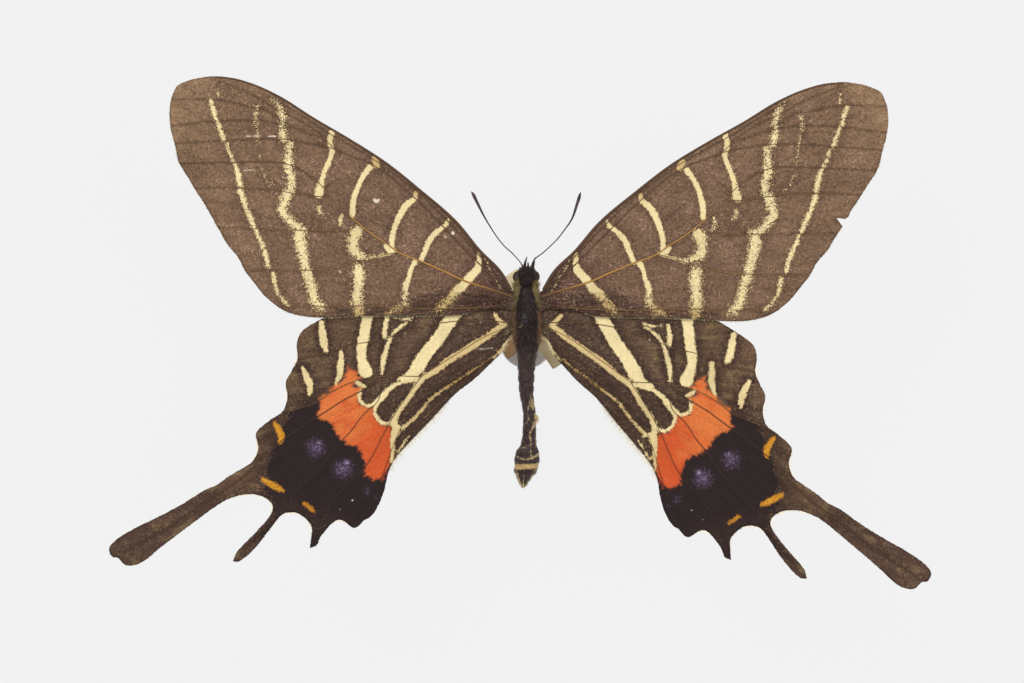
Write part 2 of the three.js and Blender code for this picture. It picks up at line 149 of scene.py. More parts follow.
HINDWING_OUTLINE = [
    (-1.7, 0.5), (-1.7, 4.9), (-3.2, 5.1), (-6, 5.5), (-10, 6.2), (-16, 6.6), (-22, 5.8),
    (-26, 4.6), (-29, 3.05), (-30.95, 1.9), (-31.75, 1.15), (-32.25, -0.45),
    (-32.15, -2.4), (-32.95, -4.15), (-33.75, -5.7), (-33.55, -7.7), (-33.75, -8.8),
    (-34.15, -9.7), (-35.95, -11), (-37.8, -12.6), (-37.95, -13), (-37.65, -14.9),
    (-38.4, -16.75), (-40, -17.85), (-41.95, -19), (-43.45, -20.1), (-45, -20.75),
    (-48.5, -22.9), (-52.6, -25.05), (-55, -26.2), (-57.95, -28.15), (-58.55, -29.05),
    (-58.05, -30.2), (-57.4, -30.3), (-56.3, -31.3), (-55.4, -31.4), (-53.75, -30.8),
    (-51.6, -29.05), (-48.5, -26.7), (-45, -24.1), (-43.6, -23.1), (-42.15, -22.2),
    (-40, -21.5), (-38.45, -21.4), (-37.2, -21.65), (-36.2, -22.2), (-35.65, -22.9),
    (-35.65, -23.7), (-36.2, -24.65), (-37.8, -26.5), (-40, -28.75), (-40.7, -29.55),
    (-41.2, -30.8), (-40.5, -30.85), (-39.55, -30.3), (-37.4, -28.1), (-35.75, -25.95),
    (-34.2, -24.2), (-33.3, -23.95), (-32.3, -24), (-31.25, -24.6), (-30.45, -25.45),
    (-30.1, -26.25), (-30.2, -27.2), (-30.4, -28.9), (-29.55, -28.6), (-28.95, -27.4),
    (-28.2, -26.45), (-26.85, -25.15), (-26.05, -25), (-24.1, -26.1), (-23.55, -25.8),
    (-22.8, -25.05), (-22, -24.6), (-20.75, -22.8), (-19.95, -20.65), (-19.4, -18.25),
    (-18.5, -16.5), (-15.9, -13.6), (-12.9, -10.45), (-10.05, -7.35), (-7.55, -5.4),
    (-5, -3), (-3.75, -1.75), (-2.55, 0.1),
]

# Cream bands as strokes: tone (0 pale, 1 ochre), strength (1 solid, less is dusty),
# and points x, y, width.
FOREWING_BANDS = [
    (0.3, 0.55, [(-43.3, 35.4, 0.6), (-43.2, 34.2, 0.5)]),
    (0.0, 0.95, [(-44.2, 33.6, 0.7), (-43.9, 32.5, 0.7), (-43.6, 31.2, 0.7)]),
    (0.1, 0.9, [(-43.3, 30.8, 0.6), (-42.9, 29.5, 0.65), (-42.4, 28.2, 0.7)]),
    (0.1, 0.9, [(-41.9, 27.6, 0.5), (-41.6, 26.4, 0.6), (-41.1, 25.2, 0.6)]),
    (0.0, 1.0, [(-40.8, 24.8, 0.6), (-40.4, 23.3, 0.8), (-40.1, 21.8, 0.7)]),
    (0.0, 1.0, [(-40.1, 21, 0.9), (-39.6, 19.6, 0.7), (-38.9, 17.8, 0.7), (-38.2, 16, 0.6)]),
    (0.0, 1.0, [(-37.9, 15.6, 0.5), (-37.3, 14, 0.6), (-36.6, 12.3, 0.7), (-36.2, 10.5, 0.6)]),
    (0.1, 1.0, [(-35.5, 9.5, 0.6), (-35.3, 8.3, 0.7), (-34.9, 7, 0.5), (-34.2, 5.9, 0.5),
                (-33.4, 5.1, 0.5)]),
    (0.2, 0.4, [(-37.6, 33, 0.9), (-38, 31, 1.0), (-37.7, 29, 0.8), (-37.5, 27.2, 0.5),
                (-37.1, 25, 0.3)]),
    (0.2, 0.5, [(-36.9, 24, 0.6), (-36.5, 22.7, 0.6), (-35.9, 21.8, 0.5)]),
    (0.1, 0.75, [(-35.4, 34, 0.6), (-34.6, 32.7, 1.0)]),
    (0.0, 0.95, [(-34.6, 32.7, 1.0), (-34.2, 31.3, 0.9), (-34.3, 30.2, 0.8),
                 (-34.2, 29.2, 1.1), (-34, 28.3, 1.0)]),
    (0.0, 1.0, [(-33.2, 27.6, 1.0), (-33.3, 26, 1.1), (-33.4, 24.5, 1.2)]),
    (0.0, 1.0, [(-33.4, 24.5, 1.2), (-33, 22.8, 1.1), (-33, 21.2, 1.0)]),
    (0.0, 1.0, [(-33.6, 20.6, 1.5), (-34, 19.3, 1.3), (-34.2, 18.4, 1.4), (-33.4, 17.2, 1.2),
                (-32.4, 16.2, 1.0), (-31, 15.7, 0.6)]),
    (0.0, 1.0, [(-31.8, 15, 1.7), (-31.7, 13.5, 1.6), (-31.3, 12, 1.4), (-31, 10.6, 1.4)]),
    (0.1, 0.95, [(-30.8, 9.6, 1.6), (-30.3, 8.4, 1.4), (-30, 7, 1.5), (-29.6, 5.6, 1.5),
                 (-28.9, 4.9, 1.6)]),
    (0.5, 0.6, [(-28.9, 4.9, 1.2), (-28, 4.2, 0.6)]),
    (0.2, 0.95, [(-27.3, 29.3, 0.9), (-27.6, 28, 0.8), (-27.2, 26.7, 0.8)]),
    (0.1, 0.95, [(-27.2, 26.7, 0.8), (-27.7, 25.2, 0.75), (-28.3, 23.9, 0.75),
                 (-28.7, 22.6, 0.8), (-29, 21.4, 1.1), (-29.1, 20.7, 1.4)]),
    (0.1, 0.3, [(-29.1, 18.6, 1.3), (-28.8, 17.8, 1.2), (-28.2, 17.3, 0.6)]),
    (0.7, 0.85, [(-21.4, 25.6, 0.9), (-21, 24.7, 1.0)]),
    (0.0, 1.0, [(-22, 24.4, 0.9), (-22.9, 23.2, 0.75), (-23.8, 21.3, 0.75), (-24.3, 19.6, 0.8),
                (-24.4, 17.8, 0.8)]),
    (0.1, 0.9, [(-25.9, 17.7, 0.5), (-26.1, 16.8, 0.6), (-25.9, 16.2, 0.5)]),
    (0.7, 0.85, [(-15.6, 20.8, 0.7), (-15.7, 20.2, 0.8)]),
    (0.0, 1.0, [(-15.7, 20, 0.8), (-17, 19, 0.95), (-17.7, 17.8, 0.95), (-18.5, 16, 0.8),
                (-18.9, 14.2, 0.8), (-18.9, 13.2, 0.8)]),
    (0.0, 0.95, [(-19.8, 13.4, 0.6), (-19.1, 12.7, 0.8), (-18.3, 12.6, 0.5)]),
    (0.3, 0.9, [(-11, 17.1, 0.4), (-11.3, 16.4, 0.7)]),
    (0.0, 1.0, [(-11.4, 16.3, 0.6), (-12.6, 15.4, 0.75), (-13.5, 14.4, 0.85),
                (-14.2, 12.8, 0.75), (-14.8, 11.4, 0.7)]),
    (0.0, 1.0, [(-15.7, 11.1, 0.8), (-16.2, 10.2, 0.65), (-16.5, 9, 0.65), (-17, 7.8, 0.9),
                (-17, 6.6, 0.8), (-17.1, 5.6, 1.1)]),
    (0.7, 0.8, [(-17, 5.3, 1.1), (-18.2, 4.7, 1.0), (-19.4, 4, 0.7)]),
    (0.3, 0.9, [(-6.8, 12.5, 0.4), (-6.7, 11.4, 0.8)]),
    (0.0, 1.0, [(-6.75, 11.3, 0.8), (-6.9, 10.3, 1.1), (-7.9, 9.1, 1.2), (-9.1, 7.7, 1.2)]),
    (0.3, 0.95, [(-9.2, 7.6, 1.3), (-10.3, 6.7, 1.3)]),
    (0.7, 0.8, [(-10.3, 6.6, 1.3), (-11.2, 5.5, 1.4), (-12.4, 4.4, 1.1)]),
    (0.2, 0.7, [(-23.9, 15.3, 2.2), (-24.3, 14.2, 1.8)]),
    (0.1, 0.95, [(-24.3, 14.2, 1.5), (-24.2, 12.8, 1.7), (-23.2, 11.9, 1.2)]),
    (0.1, 0.85, [(-23.2, 11.9, 1.1), (-21.8, 11.7, 0.7), (-20.5, 12, 0.5), (-18.6, 12.4, 0.35)]),
    (0.0, 0.97, [(-23.6, 10.2, 1.6), (-23.5, 8.8, 1.7), (-23.6, 7.5, 1.5), (-23.8, 6, 1.9)]),
    (0.3, 0.85, [(-23.8, 6, 1.9), (-23.7, 5.2, 2.0)]),
    (0.8, 0.7, [(-23.6, 4.8, 1.8), (-23.5, 3.8, 1.6)]),
    (0.2, 0.75, [(-6.3, 12.2, 0.3), (-5.5, 10.9, 0.25), (-4.6, 9.6, 0.15)]),
    (0.3, 0.72, [(-5.7, 10.6, 0.3), (-4.7, 9.2, 0.35), (-3.8, 7.7, 0.3), (-3.1, 6.5, 0.2)]),
    (0.9, 0.6, [(-7.5, 4.3, 0.15), (-6.8, 4.5, 0.22), (-6.1, 4.7, 0.15)]),
]
HINDWING_BANDS = [
    (0.1, 1.0, [(-28.8, 2.6, 0.8), (-28.6, 0.9, 1.05), (-28.35, -0.6, 1.0), (-28.1, -1.3, 0.6)]),
    (0.2, 1.0, [(-31.4, -3.8, 0.65), (-30.85, -5, 0.95), (-30.4, -6.2, 0.95), (-30.5, -7.4, 0.5)]),
    (0.2, 1.0, [(-26, -1.5, 0.6), (-26.1, -3.3, 1.0), (-26.3, -4.8, 0.85), (-26.8, -6, 0.3)]),
    (0.0, 1.0, [(-22.2, 4.4, 1.6), (-22.6, 2, 1.5), (-22.9, 0.4, 1.5), (-23.2, -1, 1.4),
                (-23.1, -2.7, 1.4), (-22.6, -4.2, 1.9)]),
    (0.3, 1.0, [(-23.8, -5.7, 0.7), (-22.7, -6.3, 0.5)]),
    (0.1, 1.0, [(-19.6, 3.3, 0.6), (-19.9, 1.9, 0.7), (-19.9, 0.5, 0.6)]),
    (0.1, 1.0, [(-16.2, 3, 0.2), (-18, 1.9, 0.45), (-19, 0.7, 0.45), (-19.6, -0.8, 0.65),
                (-20.2, -3, 0.75), (-20.4, -4.5, 0.5)]),
    (0.0, 1.0, [(-9.7, 4.6, 1.9), (-10.6, 3.2, 1.9), (-12.3, 0.6, 1.8), (-14.5, -2.2, 1.9),
                (-15.7, -4.1, 1.8), (-16.6, -4.9, 1.1), (-17.9, -5.3, 0.5)]),
    (0.4, 1.0, [(-4.6, 3.8, 0.5), (-4, 3.1, 0.65), (-3.4, 2.3, 0.8)]),
    (0.5, 1.0, [(-3.2, 2.4, 0.8), (-4, 1.8, 0.95), (-5, 1.05, 0.9), (-8, -0.8, 1.0),
                (-10, -2, 1.0), (-13, -4.2, 0.9)]),
    (0.0, 0.95, [(-1.7, 0.6, 0.9), (-2.6, -0.1, 0.9), (-3.6, -1.3, 0.6), (-4.8, -2.5, 0.3)]),
    (0.4, 1.0, [(-13, -4.2, 0.85), (-14.8, -5.3, 0.9), (-16.3, -7.5, 0.8), (-18, -9.7, 0.85)]),
    (0.3, 1.0, [(-18, -9.7, 0.85), (-18.6, -11.2, 0.9), (-18.4, -12.6, 1.1), (-18.7, -13.6, 0.8)]),
    (0.1, 1.0, [(-14.9, -5.2, 0.5), (-16.5, -5.5, 0.55), (-18.3, -6, 0.6), (-19.5, -6.8, 0.75),
                (-20.5, -8, 0.9), (-21.2, -8.7, 0.7)]),
    (0.1, 1.0, [(-23.3, -6.9, 0.5), (-23.5, -7.8, 0.5), (-23.2, -8.6, 0.52), (-22.4, -9, 0.52),
                (-21.5, -8.7, 0.55), (-20.6, -8, 0.7)]),
    (0.1, 1.0, [(-20.9, -8.6, 0.55), (-21.35, -9.6, 0.52), (-21.05, -10.6, 0.52),
                (-20.3, -11.35, 0.52), (-19.3, -11.4, 0.5), (-18.7, -10.8, 0.6)]),
    (0.3, 1.0, [(-18, -12, 0.6), (-17.2, -12.3, 0.5)]),
    (0.9, 0.9, [(-3.6, -1.1, 0.16), (-6.3, -3.2, 0.24), (-8.5, -4.6, 0.3), (-11, -6.3, 0.34)]),
    (0.5, 1.0, [(-11, -6.3, 0.34), (-13.4, -8, 0.4), (-15.1, -10, 0.45), (-16.9, -11.7, 0.5),
                (-18.2, -12.5, 0.6)]),
    (0.3, 1.0, [(-18.6, -12.8, 1.0), (-18.8, -14.1, 0.8), (-18.85, -15.3, 0.55),
                (-19, -16.9, 0.5)]),
    (0.6, 0.9, [(-18.6, -15.2, 0.3), (-17.9, -15.4, 0.25)]),
    (0.1, 0.85, [(-16.3, -13, 0.2), (-16.9, -13.7, 0.3), (-17.5, -14.6, 0.35),
                 (-18.2, -15.5, 0.4)]),
    (0.1, 1.0, [(-18.6, 3.3, 0.2), (-17.4, 3.1, 0.4), (-16.1, 3.3, 0.4)]),
]

# Darker brown dusting, then pale rubbed flecks, as points x, y, width.
FOREWING_SHADES = [
    [(-15.8, 5.1, 1.4), (-13, 5.7, 2.3), (-10.8, 6.4, 1.8)],
    [(-17, 3.9, 0.6), (-12.5, 4, 0.8), (-8.5, 4.4, 1.2), (-4, 4.9, 1.2)],
    [(-9.4, 5.4, 0.9), (-7.6, 5.9, 1.4), (-5, 5.8, 1.2)],
    [(-26.5, 4.2, 0.8), (-24.8, 4.2, 0.8)],
    [(-22, 4.1, 0.9), (-20, 4.2, 1.0)],
    [(-9.5, 4, 0.7), (-6, 4.6, 1.2), (-3, 5.4, 1.6)],
    [(-2.2, 6.5, 1.6), (-4.2, 8.2, 1.0)],
    [(-8.2, 3.9, 0.6), (-5, 4.3, 0.9), (-3, 4.9, 1.2)],
]
HINDWING_SHADES = [
    [(-5, -0.4, 0.8), (-9, -3.2, 1.5), (-13, -6.2, 1.5), (-15.6, -9, 1.4), (-17.3, -10.8, 0.9)],
    [(-4, -1.6, 0.8), (-9, -5.9, 1.0), (-14, -10.4, 1.4), (-16.6, -13, 1.2), (-18, -14.6, 0.5)],
    [(-15.5, -6.2, 0.8), (-18.2, -8, 1.6), (-20.3, -10.3, 1.6)],
    [(-21.6, -5.6, 0.8), (-22.2, -7.6, 1.0)],
    [(-4, 2.6, 1.2), (-6, 2.4, 1.8), (-8.6, 0.8, 1.4)],
    [(-3.8, -1.4, 0.6), (-8, -6, 0.6), (-13, -10.9, 0.6), (-17.9, -15.9, 0.6)],
]
FOREWING_FLECKS = [
    [(-21.4, 19.95, 0.3), (-21.1, 19.6, 0.45), (-20.7, 19.85, 0.25)],
    [(-39.6, 23.9, 0.16), (-38.2, 23.95, 0.16)],
    [(-39.2, 28.75, 0.16), (-37.2, 28.8, 0.16)],
    [(-36.3, 28.75, 0.18), (-35.2, 28.7, 0.16)],
    [(-10.4, 15.2, 0.45), (-10.3, 15.1, 0.3)],
    [(-11.5, 14.75, 0.26), (-11.4, 14.5, 0.2)],
    [(-26.2, 9.8, 0.25), (-26.1, 9.7, 0.2)],
    [(-6.5, 3.95, 0.25), (-6.4, 3.9, 0.2)],
    [(-5.3, 4.0, 0.2), (-5.2, 4.0, 0.15)],
]
RIGHT_FOREWING_FLECKS = [
    [(-6.5, 4.1, 0.08), (-6.3, 4.1, 0.08)],
    [(-11.6, 14.8, 0.12), (-11.4, 14.7, 0.12)],
]
HINDWING_FLECKS = [
    [(-24.5, -22.3, 0.2), (-24.4, -22.2, 0.14)],
    [(-26.2, -23.5, 0.16), (-26.1, -23.5, 0.12)],
    [(-34, -22.8, 0.12), (-34, -22.7, 0.12)],
    [(-17.2, 1.2, 0.16), (-17, 1.1, 0.12)],
    [(-6.9, 2.5, 0.05), (-6.3, 2.8, 0.08), (-5.6, 3, 0.05)],
    [(-7.6, -0.95, 0.1), (-6.4, -1.05, 0.14), (-4.8, -0.9, 0.1)],
    [(-9.2, -7.9, 0.1), (-9, -7.2, 0.1)],
]
RIGHT_HINDWING_FLECKS = HINDWING_FLECKS[:4]

ORANGE_PATCH = [
    (-25.1, -3.6), (-25.6, -5.3), (-26.9, -6.2), (-28, -7.3), (-29.1, -8), (-29, -9.2),
    (-29.4, -10.3), (-28.9, -10.7), (-27.8, -11.2), (-26.9, -12.2), (-26.6, -13.2),
    (-25.7, -13.8), (-25.2, -14.3), (-24, -14.7), (-23.2, -15.5), (-22.9, -16.4),
    (-22.7, -17.3), (-22.6, -18.8), (-22, -19.1), (-21.2, -19.4), (-20.2, -19.3),
    (-19.8, -18.6), (-19.3, -17.5), (-18.9, -16), (-18.8, -14.8), (-18.9, -13.2),
    (-19.5, -11.8), (-20.4, -11.7), (-21.2, -10.9), (-21.6, -9.8), (-21.5, -9.1),
    (-22.5, -9.4), (-23.6, -8.7), (-23.6, -7.4), (-23.1, -6.7), (-24.2, -6.3),
    (-24.1, -5.6), (-23.2, -5.3), (-23.7, -4.9), (-24.2, -4),
]
BLACK_AREA = [
    (-29.3, -8.3), (-31.5, -9.2), (-33.2, -10.2), (-34.6, -12.5), (-35.6, -15),
    (-36.3, -18), (-36.6, -21), (-35.4, -22.3), (-35.2, -24.5), (-36.5, -27),
    (-31, -33), (-16, -30), (-17, -19.3), (-20, -17), (-25, -11),
]
YELLOW_SPOTS = [
    [(-35.3, -11.5, 0.6), (-34.7, -12.5, 0.9), (-34.4, -13.5, 0.9), (-34.6, -14.2, 0.5)],
    [(-37, -19.3, 0.6), (-36, -19.9, 0.9), (-35, -20.5, 0.85), (-34.2, -20.9, 0.5)],
    [(-31.2, -22.7, 0.5), (-30.4, -23.3, 0.6), (-29.8, -23.8, 0.4)],
]
# Violet dusting: middle x, y, reach and strength.
VIOLET_DUST = [
    (-29.6, -14.9, 2.5, 0.75), (-29.1, -14.2, 1.0, 0.95), (-25.8, -17.8, 2.5, 0.8),
    (-25.2, -17, 1.0, 1.0), (-22.4, -20.9, 1.5, 0.5), (-21.2, -21.9, 1.1, 0.4),
    (-24.5, -22.2, 0.8, 0.3), (-31, -22, 1.0, 0.25), (-33.6, -16.5, 1.4, 0.2),
]

# Veins: tone (0 dark, 1 orange-brown), radius at the root and at the edge, points x, y.
FOREWING_VEINS = [
    (1.0, 0.19, 0.1, [(-1.9, 6.2), (-3.5, 6.8), (-6, 7.6), (-8.5, 8.4), (-12, 10), (-15, 11.3),
                      (-18, 12.5), (-19.8, 13.8), (-21.5, 14.9), (-23.8, 16.7), (-24.9, 17.6)]),
    (0.4, 0.1, 0.08, [(-24.9, 17.6), (-26.5, 19), (-27.9, 20.3), (-28.3, 21.3), (-29.2, 22.2),
                       (-30.2, 23)]),
    (0.1, 0.1, 0.06, [(-30.2, 23), (-32, 24.2), (-34, 24.9), (-37, 25.1), (-42, 25),
                      (-48.5, 24.9)]),
    (0.2, 0.08, 0.07, [(-28.2, 21.4), (-27.3, 22.2), (-26.3, 22.8)]),
    (0.2, 0.09, 0.06, [(-27.9, 20.3), (-30, 20.3), (-33, 20.8), (-36, 21.2), (-40, 21.5),
                       (-46.5, 21.4)]),
    (0.3, 0.09, 0.06, [(-23.8, 16.5), (-24.5, 15.7), (-27, 15.5), (-31, 15.5), (-35, 15.6),
                       (-40, 15.9), (-43.2, 15.9)]),
    (0.5, 0.09, 0.06, [(-18, 12.5), (-20.5, 12), (-22.5, 11.2), (-25, 10.6), (-30, 10),
                      (-35, 9.9), (-39.2, 10)]),
    (0.3, 0.1, 0.07, [(-2, 5.4), (-3, 5.2), (-8, 4.7), (-14, 4.6), (-20, 4.9), (-30, 4.9),
                       (-34.4, 4.8)]),
    (0.1, 0.12, 0.06, [(-2.2, 6.9), (-6, 10.2), (-10, 14.3), (-15, 19.4), (-19, 23), (-22, 24.9),
                       (-25, 26.1), (-27.5, 27.1), (-30, 27.6), (-32.5, 28.1), (-36, 28.3),
                       (-40, 28.2), (-49.2, 27.7)]),
    (0.1, 0.08, 0.06, [(-26, 26.2), (-29, 28.6), (-31, 29.3), (-33.5, 30.1), (-35.5, 30.6),
                       (-38, 30.9), (-42, 30.9), (-49.7, 30.2)]),
    (0.1, 0.07, 0.06, [(-31, 29.3), (-33, 30.2), (-34.5, 31), (-36.5, 32.4), (-39, 32.9),
                       (-42, 33.6), (-45, 33.9), (-49.5, 33.8)]),
    (0.1, 0.08, 0.06, [(-28, 28.3), (-31, 30.5), (-35, 32.5), (-38, 34.3), (-41, 35.6),
                       (-43.2, 36.6)]),
    (0.5, 0.07, 0.05, [(-2.3, 6), (-4.5, 6.3), (-7.5, 6.5), (-10.5, 7)]),
    (0.7, 0.06, 0.05, [(-2.4, 5.8), (-5, 5.6), (-8, 5.4), (-11, 5.7)]),
    (0.0, 0.08, 0.06, [(-2.5, 6.4), (-3.8, 8), (-5, 9.6), (-6.5, 11.5)]),
    (0.05, 0.1, 0.06, [(-2.4, 7.2), (-6, 11.3), (-10, 15.7), (-15, 20.6), (-20, 24.5),
                       (-25, 27.6), (-28, 29.3), (-32, 31.9), (-36, 34.3)]),
]
FRONT_EDGE_RADII = (0.26, 0.14)
FRONT_EDGE_TONE = 0.05
FOREWING_FRONT_EDGE = [
    (-2.3, 7.2), (-3.65, 9.6), (-6.65, 12.7), (-9.85, 16.6), (-14.9, 21.05), (-19.9, 25.05),
    (-24.9, 28.25), (-29.9, 31.2), (-34.9, 34.35), (-37.9, 35.75), (-41.3, 36.75), (-43.6, 36.95),
]
HINDWING_VEINS = [
    (0.2, 0.1, 0.07, [(-2.2, 2.6), (-6, 2.9), (-12, 2.6), (-16.5, 1.5), (-20.3, 0.3), (-24, -0.4),
                      (-27.5, -1.4), (-32, -2.5)]),
    (0.45, 0.08, 0.08, [(-2.2, 2.3), (-6, 0.6), (-10, -1.85), (-14.8, -4.9)]),
    (0.3, 0.08, 0.08, [(-14.8, -4.9), (-20.2, -4.9), (-22.8, -5.2), (-25, -5.9),
                       (-27.5, -7.2), (-29, -8.2), (-33.6, -9.9)]),
    (0.1, 0.08, 0.07, [(-20.2, 0.3), (-20.6, -2.5), (-20.4, -4.9)]),
    (0.1, 0.09, 0.1, [(-20.5, -5.1), (-23, -6.8), (-26, -8.4), (-28, -9.7), (-29.4, -10.6),
                      (-33, -12.9), (-36, -15.3), (-38.5, -17.9), (-45, -22.5), (-52, -27),
                      (-56.5, -29.6)]),
    (0.1, 0.08, 0.06, [(-20.5, -6), (-20.7, -8), (-23, -10.3), (-24.8, -12.7), (-25.7, -13.6),
                       (-28, -16.5), (-33, -21.5), (-35.3, -24.5), (-40, -29.7)]),
    (0.1, 0.08, 0.06, [(-14.8, -4.9), (-16.8, -7.6), (-19.2, -11.3), (-20.5, -13.8), (-22, -16.6),
                       (-22.7, -17.6), (-26, -21), (-29.2, -25.6), (-29.9, -28)]),
    (0.1, 0.08, 0.06, [(-2.2, 1), (-5, -0.8), (-10, -4.4), (-14, -7.7), (-17.6, -12),
                       (-19.6, -17), (-21.5, -22.5)]),
]

# Where the pale fringe shows on the hindwing: middle x, y and reach.
PALE_BAYS = [
    (-37.8, -15.1, 2.0), (-38.6, -21.4, 3.0), (-35.7, -23.4, 1.3), (-33.1, -24, 2.0),
    (-30.4, -26, 1.3), (-26.3, -25, 1.6), (-32.2, -2.4, 1.0), (-33.6, -7.7, 1.0),
]
INNER_FRINGE = [(-19.3, -18), (-18.5, -16.5), (-15.9, -13.6), (-12.9, -10.45), (-10.05, -7.35),
                (-7.55, -5.4), (-5, -3), (-3.75, -1.75), (-2.7, -0.2)]

# Body sections from back to front: y, middle x, middle height, half width, half height.
ABDOMEN_SECTIONS = [
    (-20.6, -0.55, 23.3, 0.1, 0.1), (-19.9, -0.5, 23.35, 0.55, 0.65),
    (-19.3, -0.42, 23.4, 0.85, 1.0), (-18.3, -0.25, 23.5, 1.42, 1.4),
    (-17.15, -0.03, 23.6, 1.58, 1.52), (-15.6, 0.05, 23.75, 1.55, 1.52),
    (-14.7, 0.2, 23.8, 1.15, 1.32), (-13.9, 0.28, 23.9, 0.96, 1.18),
    (-12, 0.35, 24.1, 0.84, 1.08), (-10, 0.33, 24.3, 0.8, 1.08),
    (-7.35, -0.05, 24.6, 0.88, 1.2), (-5.5, -0.1, 24.8, 1.0, 1.35),
    (-3.6, -0.07, 24.95, 1.1, 1.45), (-2, 0, 25.1, 1.25, 1.6), (-0.4, 0, 25.2, 1.4, 1.7),
]
THORAX_SECTIONS = [
    (-0.9, 0, BODY_Z, 1.1, 1.4), (0.2, 0, BODY_Z, 1.5, 1.95), (1.5, 0, BODY_Z, 1.68, 2.15),
    (3, 0, BODY_Z, 1.72, 2.25), (4.5, 0, BODY_Z, 1.7, 2.2), (5.6, 0, BODY_Z, 1.58, 1.95),
    (6.5, 0, BODY_Z, 1.4, 1.6), (7.2, -0.05, BODY_Z, 1.2, 1.3), (7.7, -0.05, BODY_Z, 0.8, 0.9),
]
HEAD_SECTIONS = [
    (7.5, -0.05, 25.1, 0.8, 0.85), (8.1, -0.05, 25.1, 1.1, 1.1), (8.9, -0.05, 25, 1.2, 1.2),
    (9.6, -0.05, 24.9, 1.1, 1.05), (10.1, -0.05, 24.8, 0.78, 0.8), (10.3, -0.05, 24.7, 0.3, 0.35),
]
EYE_RADIUS = 0.82
EYES = [(-1.3, 9.05, 24.95), (1.1, 9.1, 24.95)]
PALPS = [
    [(-0.42, 9.6, 24.4, 0.28), (-0.38, 10.4, 24.3, 0.22), (-0.2, 11.1, 24.6, 0.12),
     (0, 11.8, 25, 0.03)],
    [(0.6, 9.6, 24.4, 0.28), (0.75, 10.3, 24.3, 0.24), (0.95, 11, 24.6, 0.13),
     (1.12, 11.7, 25, 0.03)],
]
ANTENNAE = {
    "left": [
        (-0.45, 10.1, 25.4, 0.15), (-0.7, 10.7, 25.7, 0.1), (-2.1, 12.4, 26.1, 0.085),
        (-3.1, 13.3, 26.3, 0.085), (-4.1, 14.5, 26.5, 0.09), (-5.1, 16, 26.7, 0.1),
        (-6.1, 17.7, 26.9, 0.14), (-7, 19.5, 27.1, 0.21), (-7.6, 20.7, 27.2, 0.19),
        (-7.8, 21, 27.2, 0.06),
    ],
    "right": [
        (0.5, 10.1, 25.4, 0.15), (1.05, 11.5, 25.8, 0.1), (2.2, 12.4, 26, 0.085),
        (3.3, 13.4, 26.2, 0.085), (4.3, 14.4, 26.4, 0.09), (5.3, 15.7, 26.6, 0.1),
        (6.2, 17, 26.8, 0.13), (7, 19.2, 27, 0.21), (7.4, 20.5, 27.1, 0.19),
        (7.5, 20.9, 27.1, 0.06),
    ],
}
LEGS = {
    "front": [
        (-0.7, 6.1, 23.6, 0.32), (-1, 7, 22.7, 0.31), (-1.1, 7.6, 22, 0.22),
        (-1.05, 6.9, 21.4, 0.19), (-0.95, 5.5, 21.1, 0.15), (-0.9, 4.5, 20.8, 0.1),
        (-0.85, 3.9, 20.6, 0.05),
    ],
    "middle": [
        (-0.8, 4.2, 23.2, 0.32), (-1.7, 5, 22.2, 0.31), (-2.4, 5.6, 21.6, 0.22),
        (-2.3, 4.8, 21, 0.19), (-1.95, 2.7, 20.8, 0.15), (-1.6, 0.9, 20.5, 0.1),
        (-1.4, 0.1, 20.3, 0.05),
    ],
    "hind": [
        (-0.8, 1.8, 23.2, 0.32), (-1.15, 0.9, 22.4, 0.31), (-1.25, 0.2, 21.9, 0.22),
        (-1.1, -0.8, 21.4, 0.19), (-0.85, -2.6, 21.2, 0.15), (-0.7, -4.4, 20.8, 0.1),
        (-0.62, -5.2, 20.6, 0.05),
    ],
}
PROBOSCIS = {"x": 0.15, "y": 10.35, "z": 22.85, "radius": 0.72, "turns": 1.6, "thickness": 0.13}

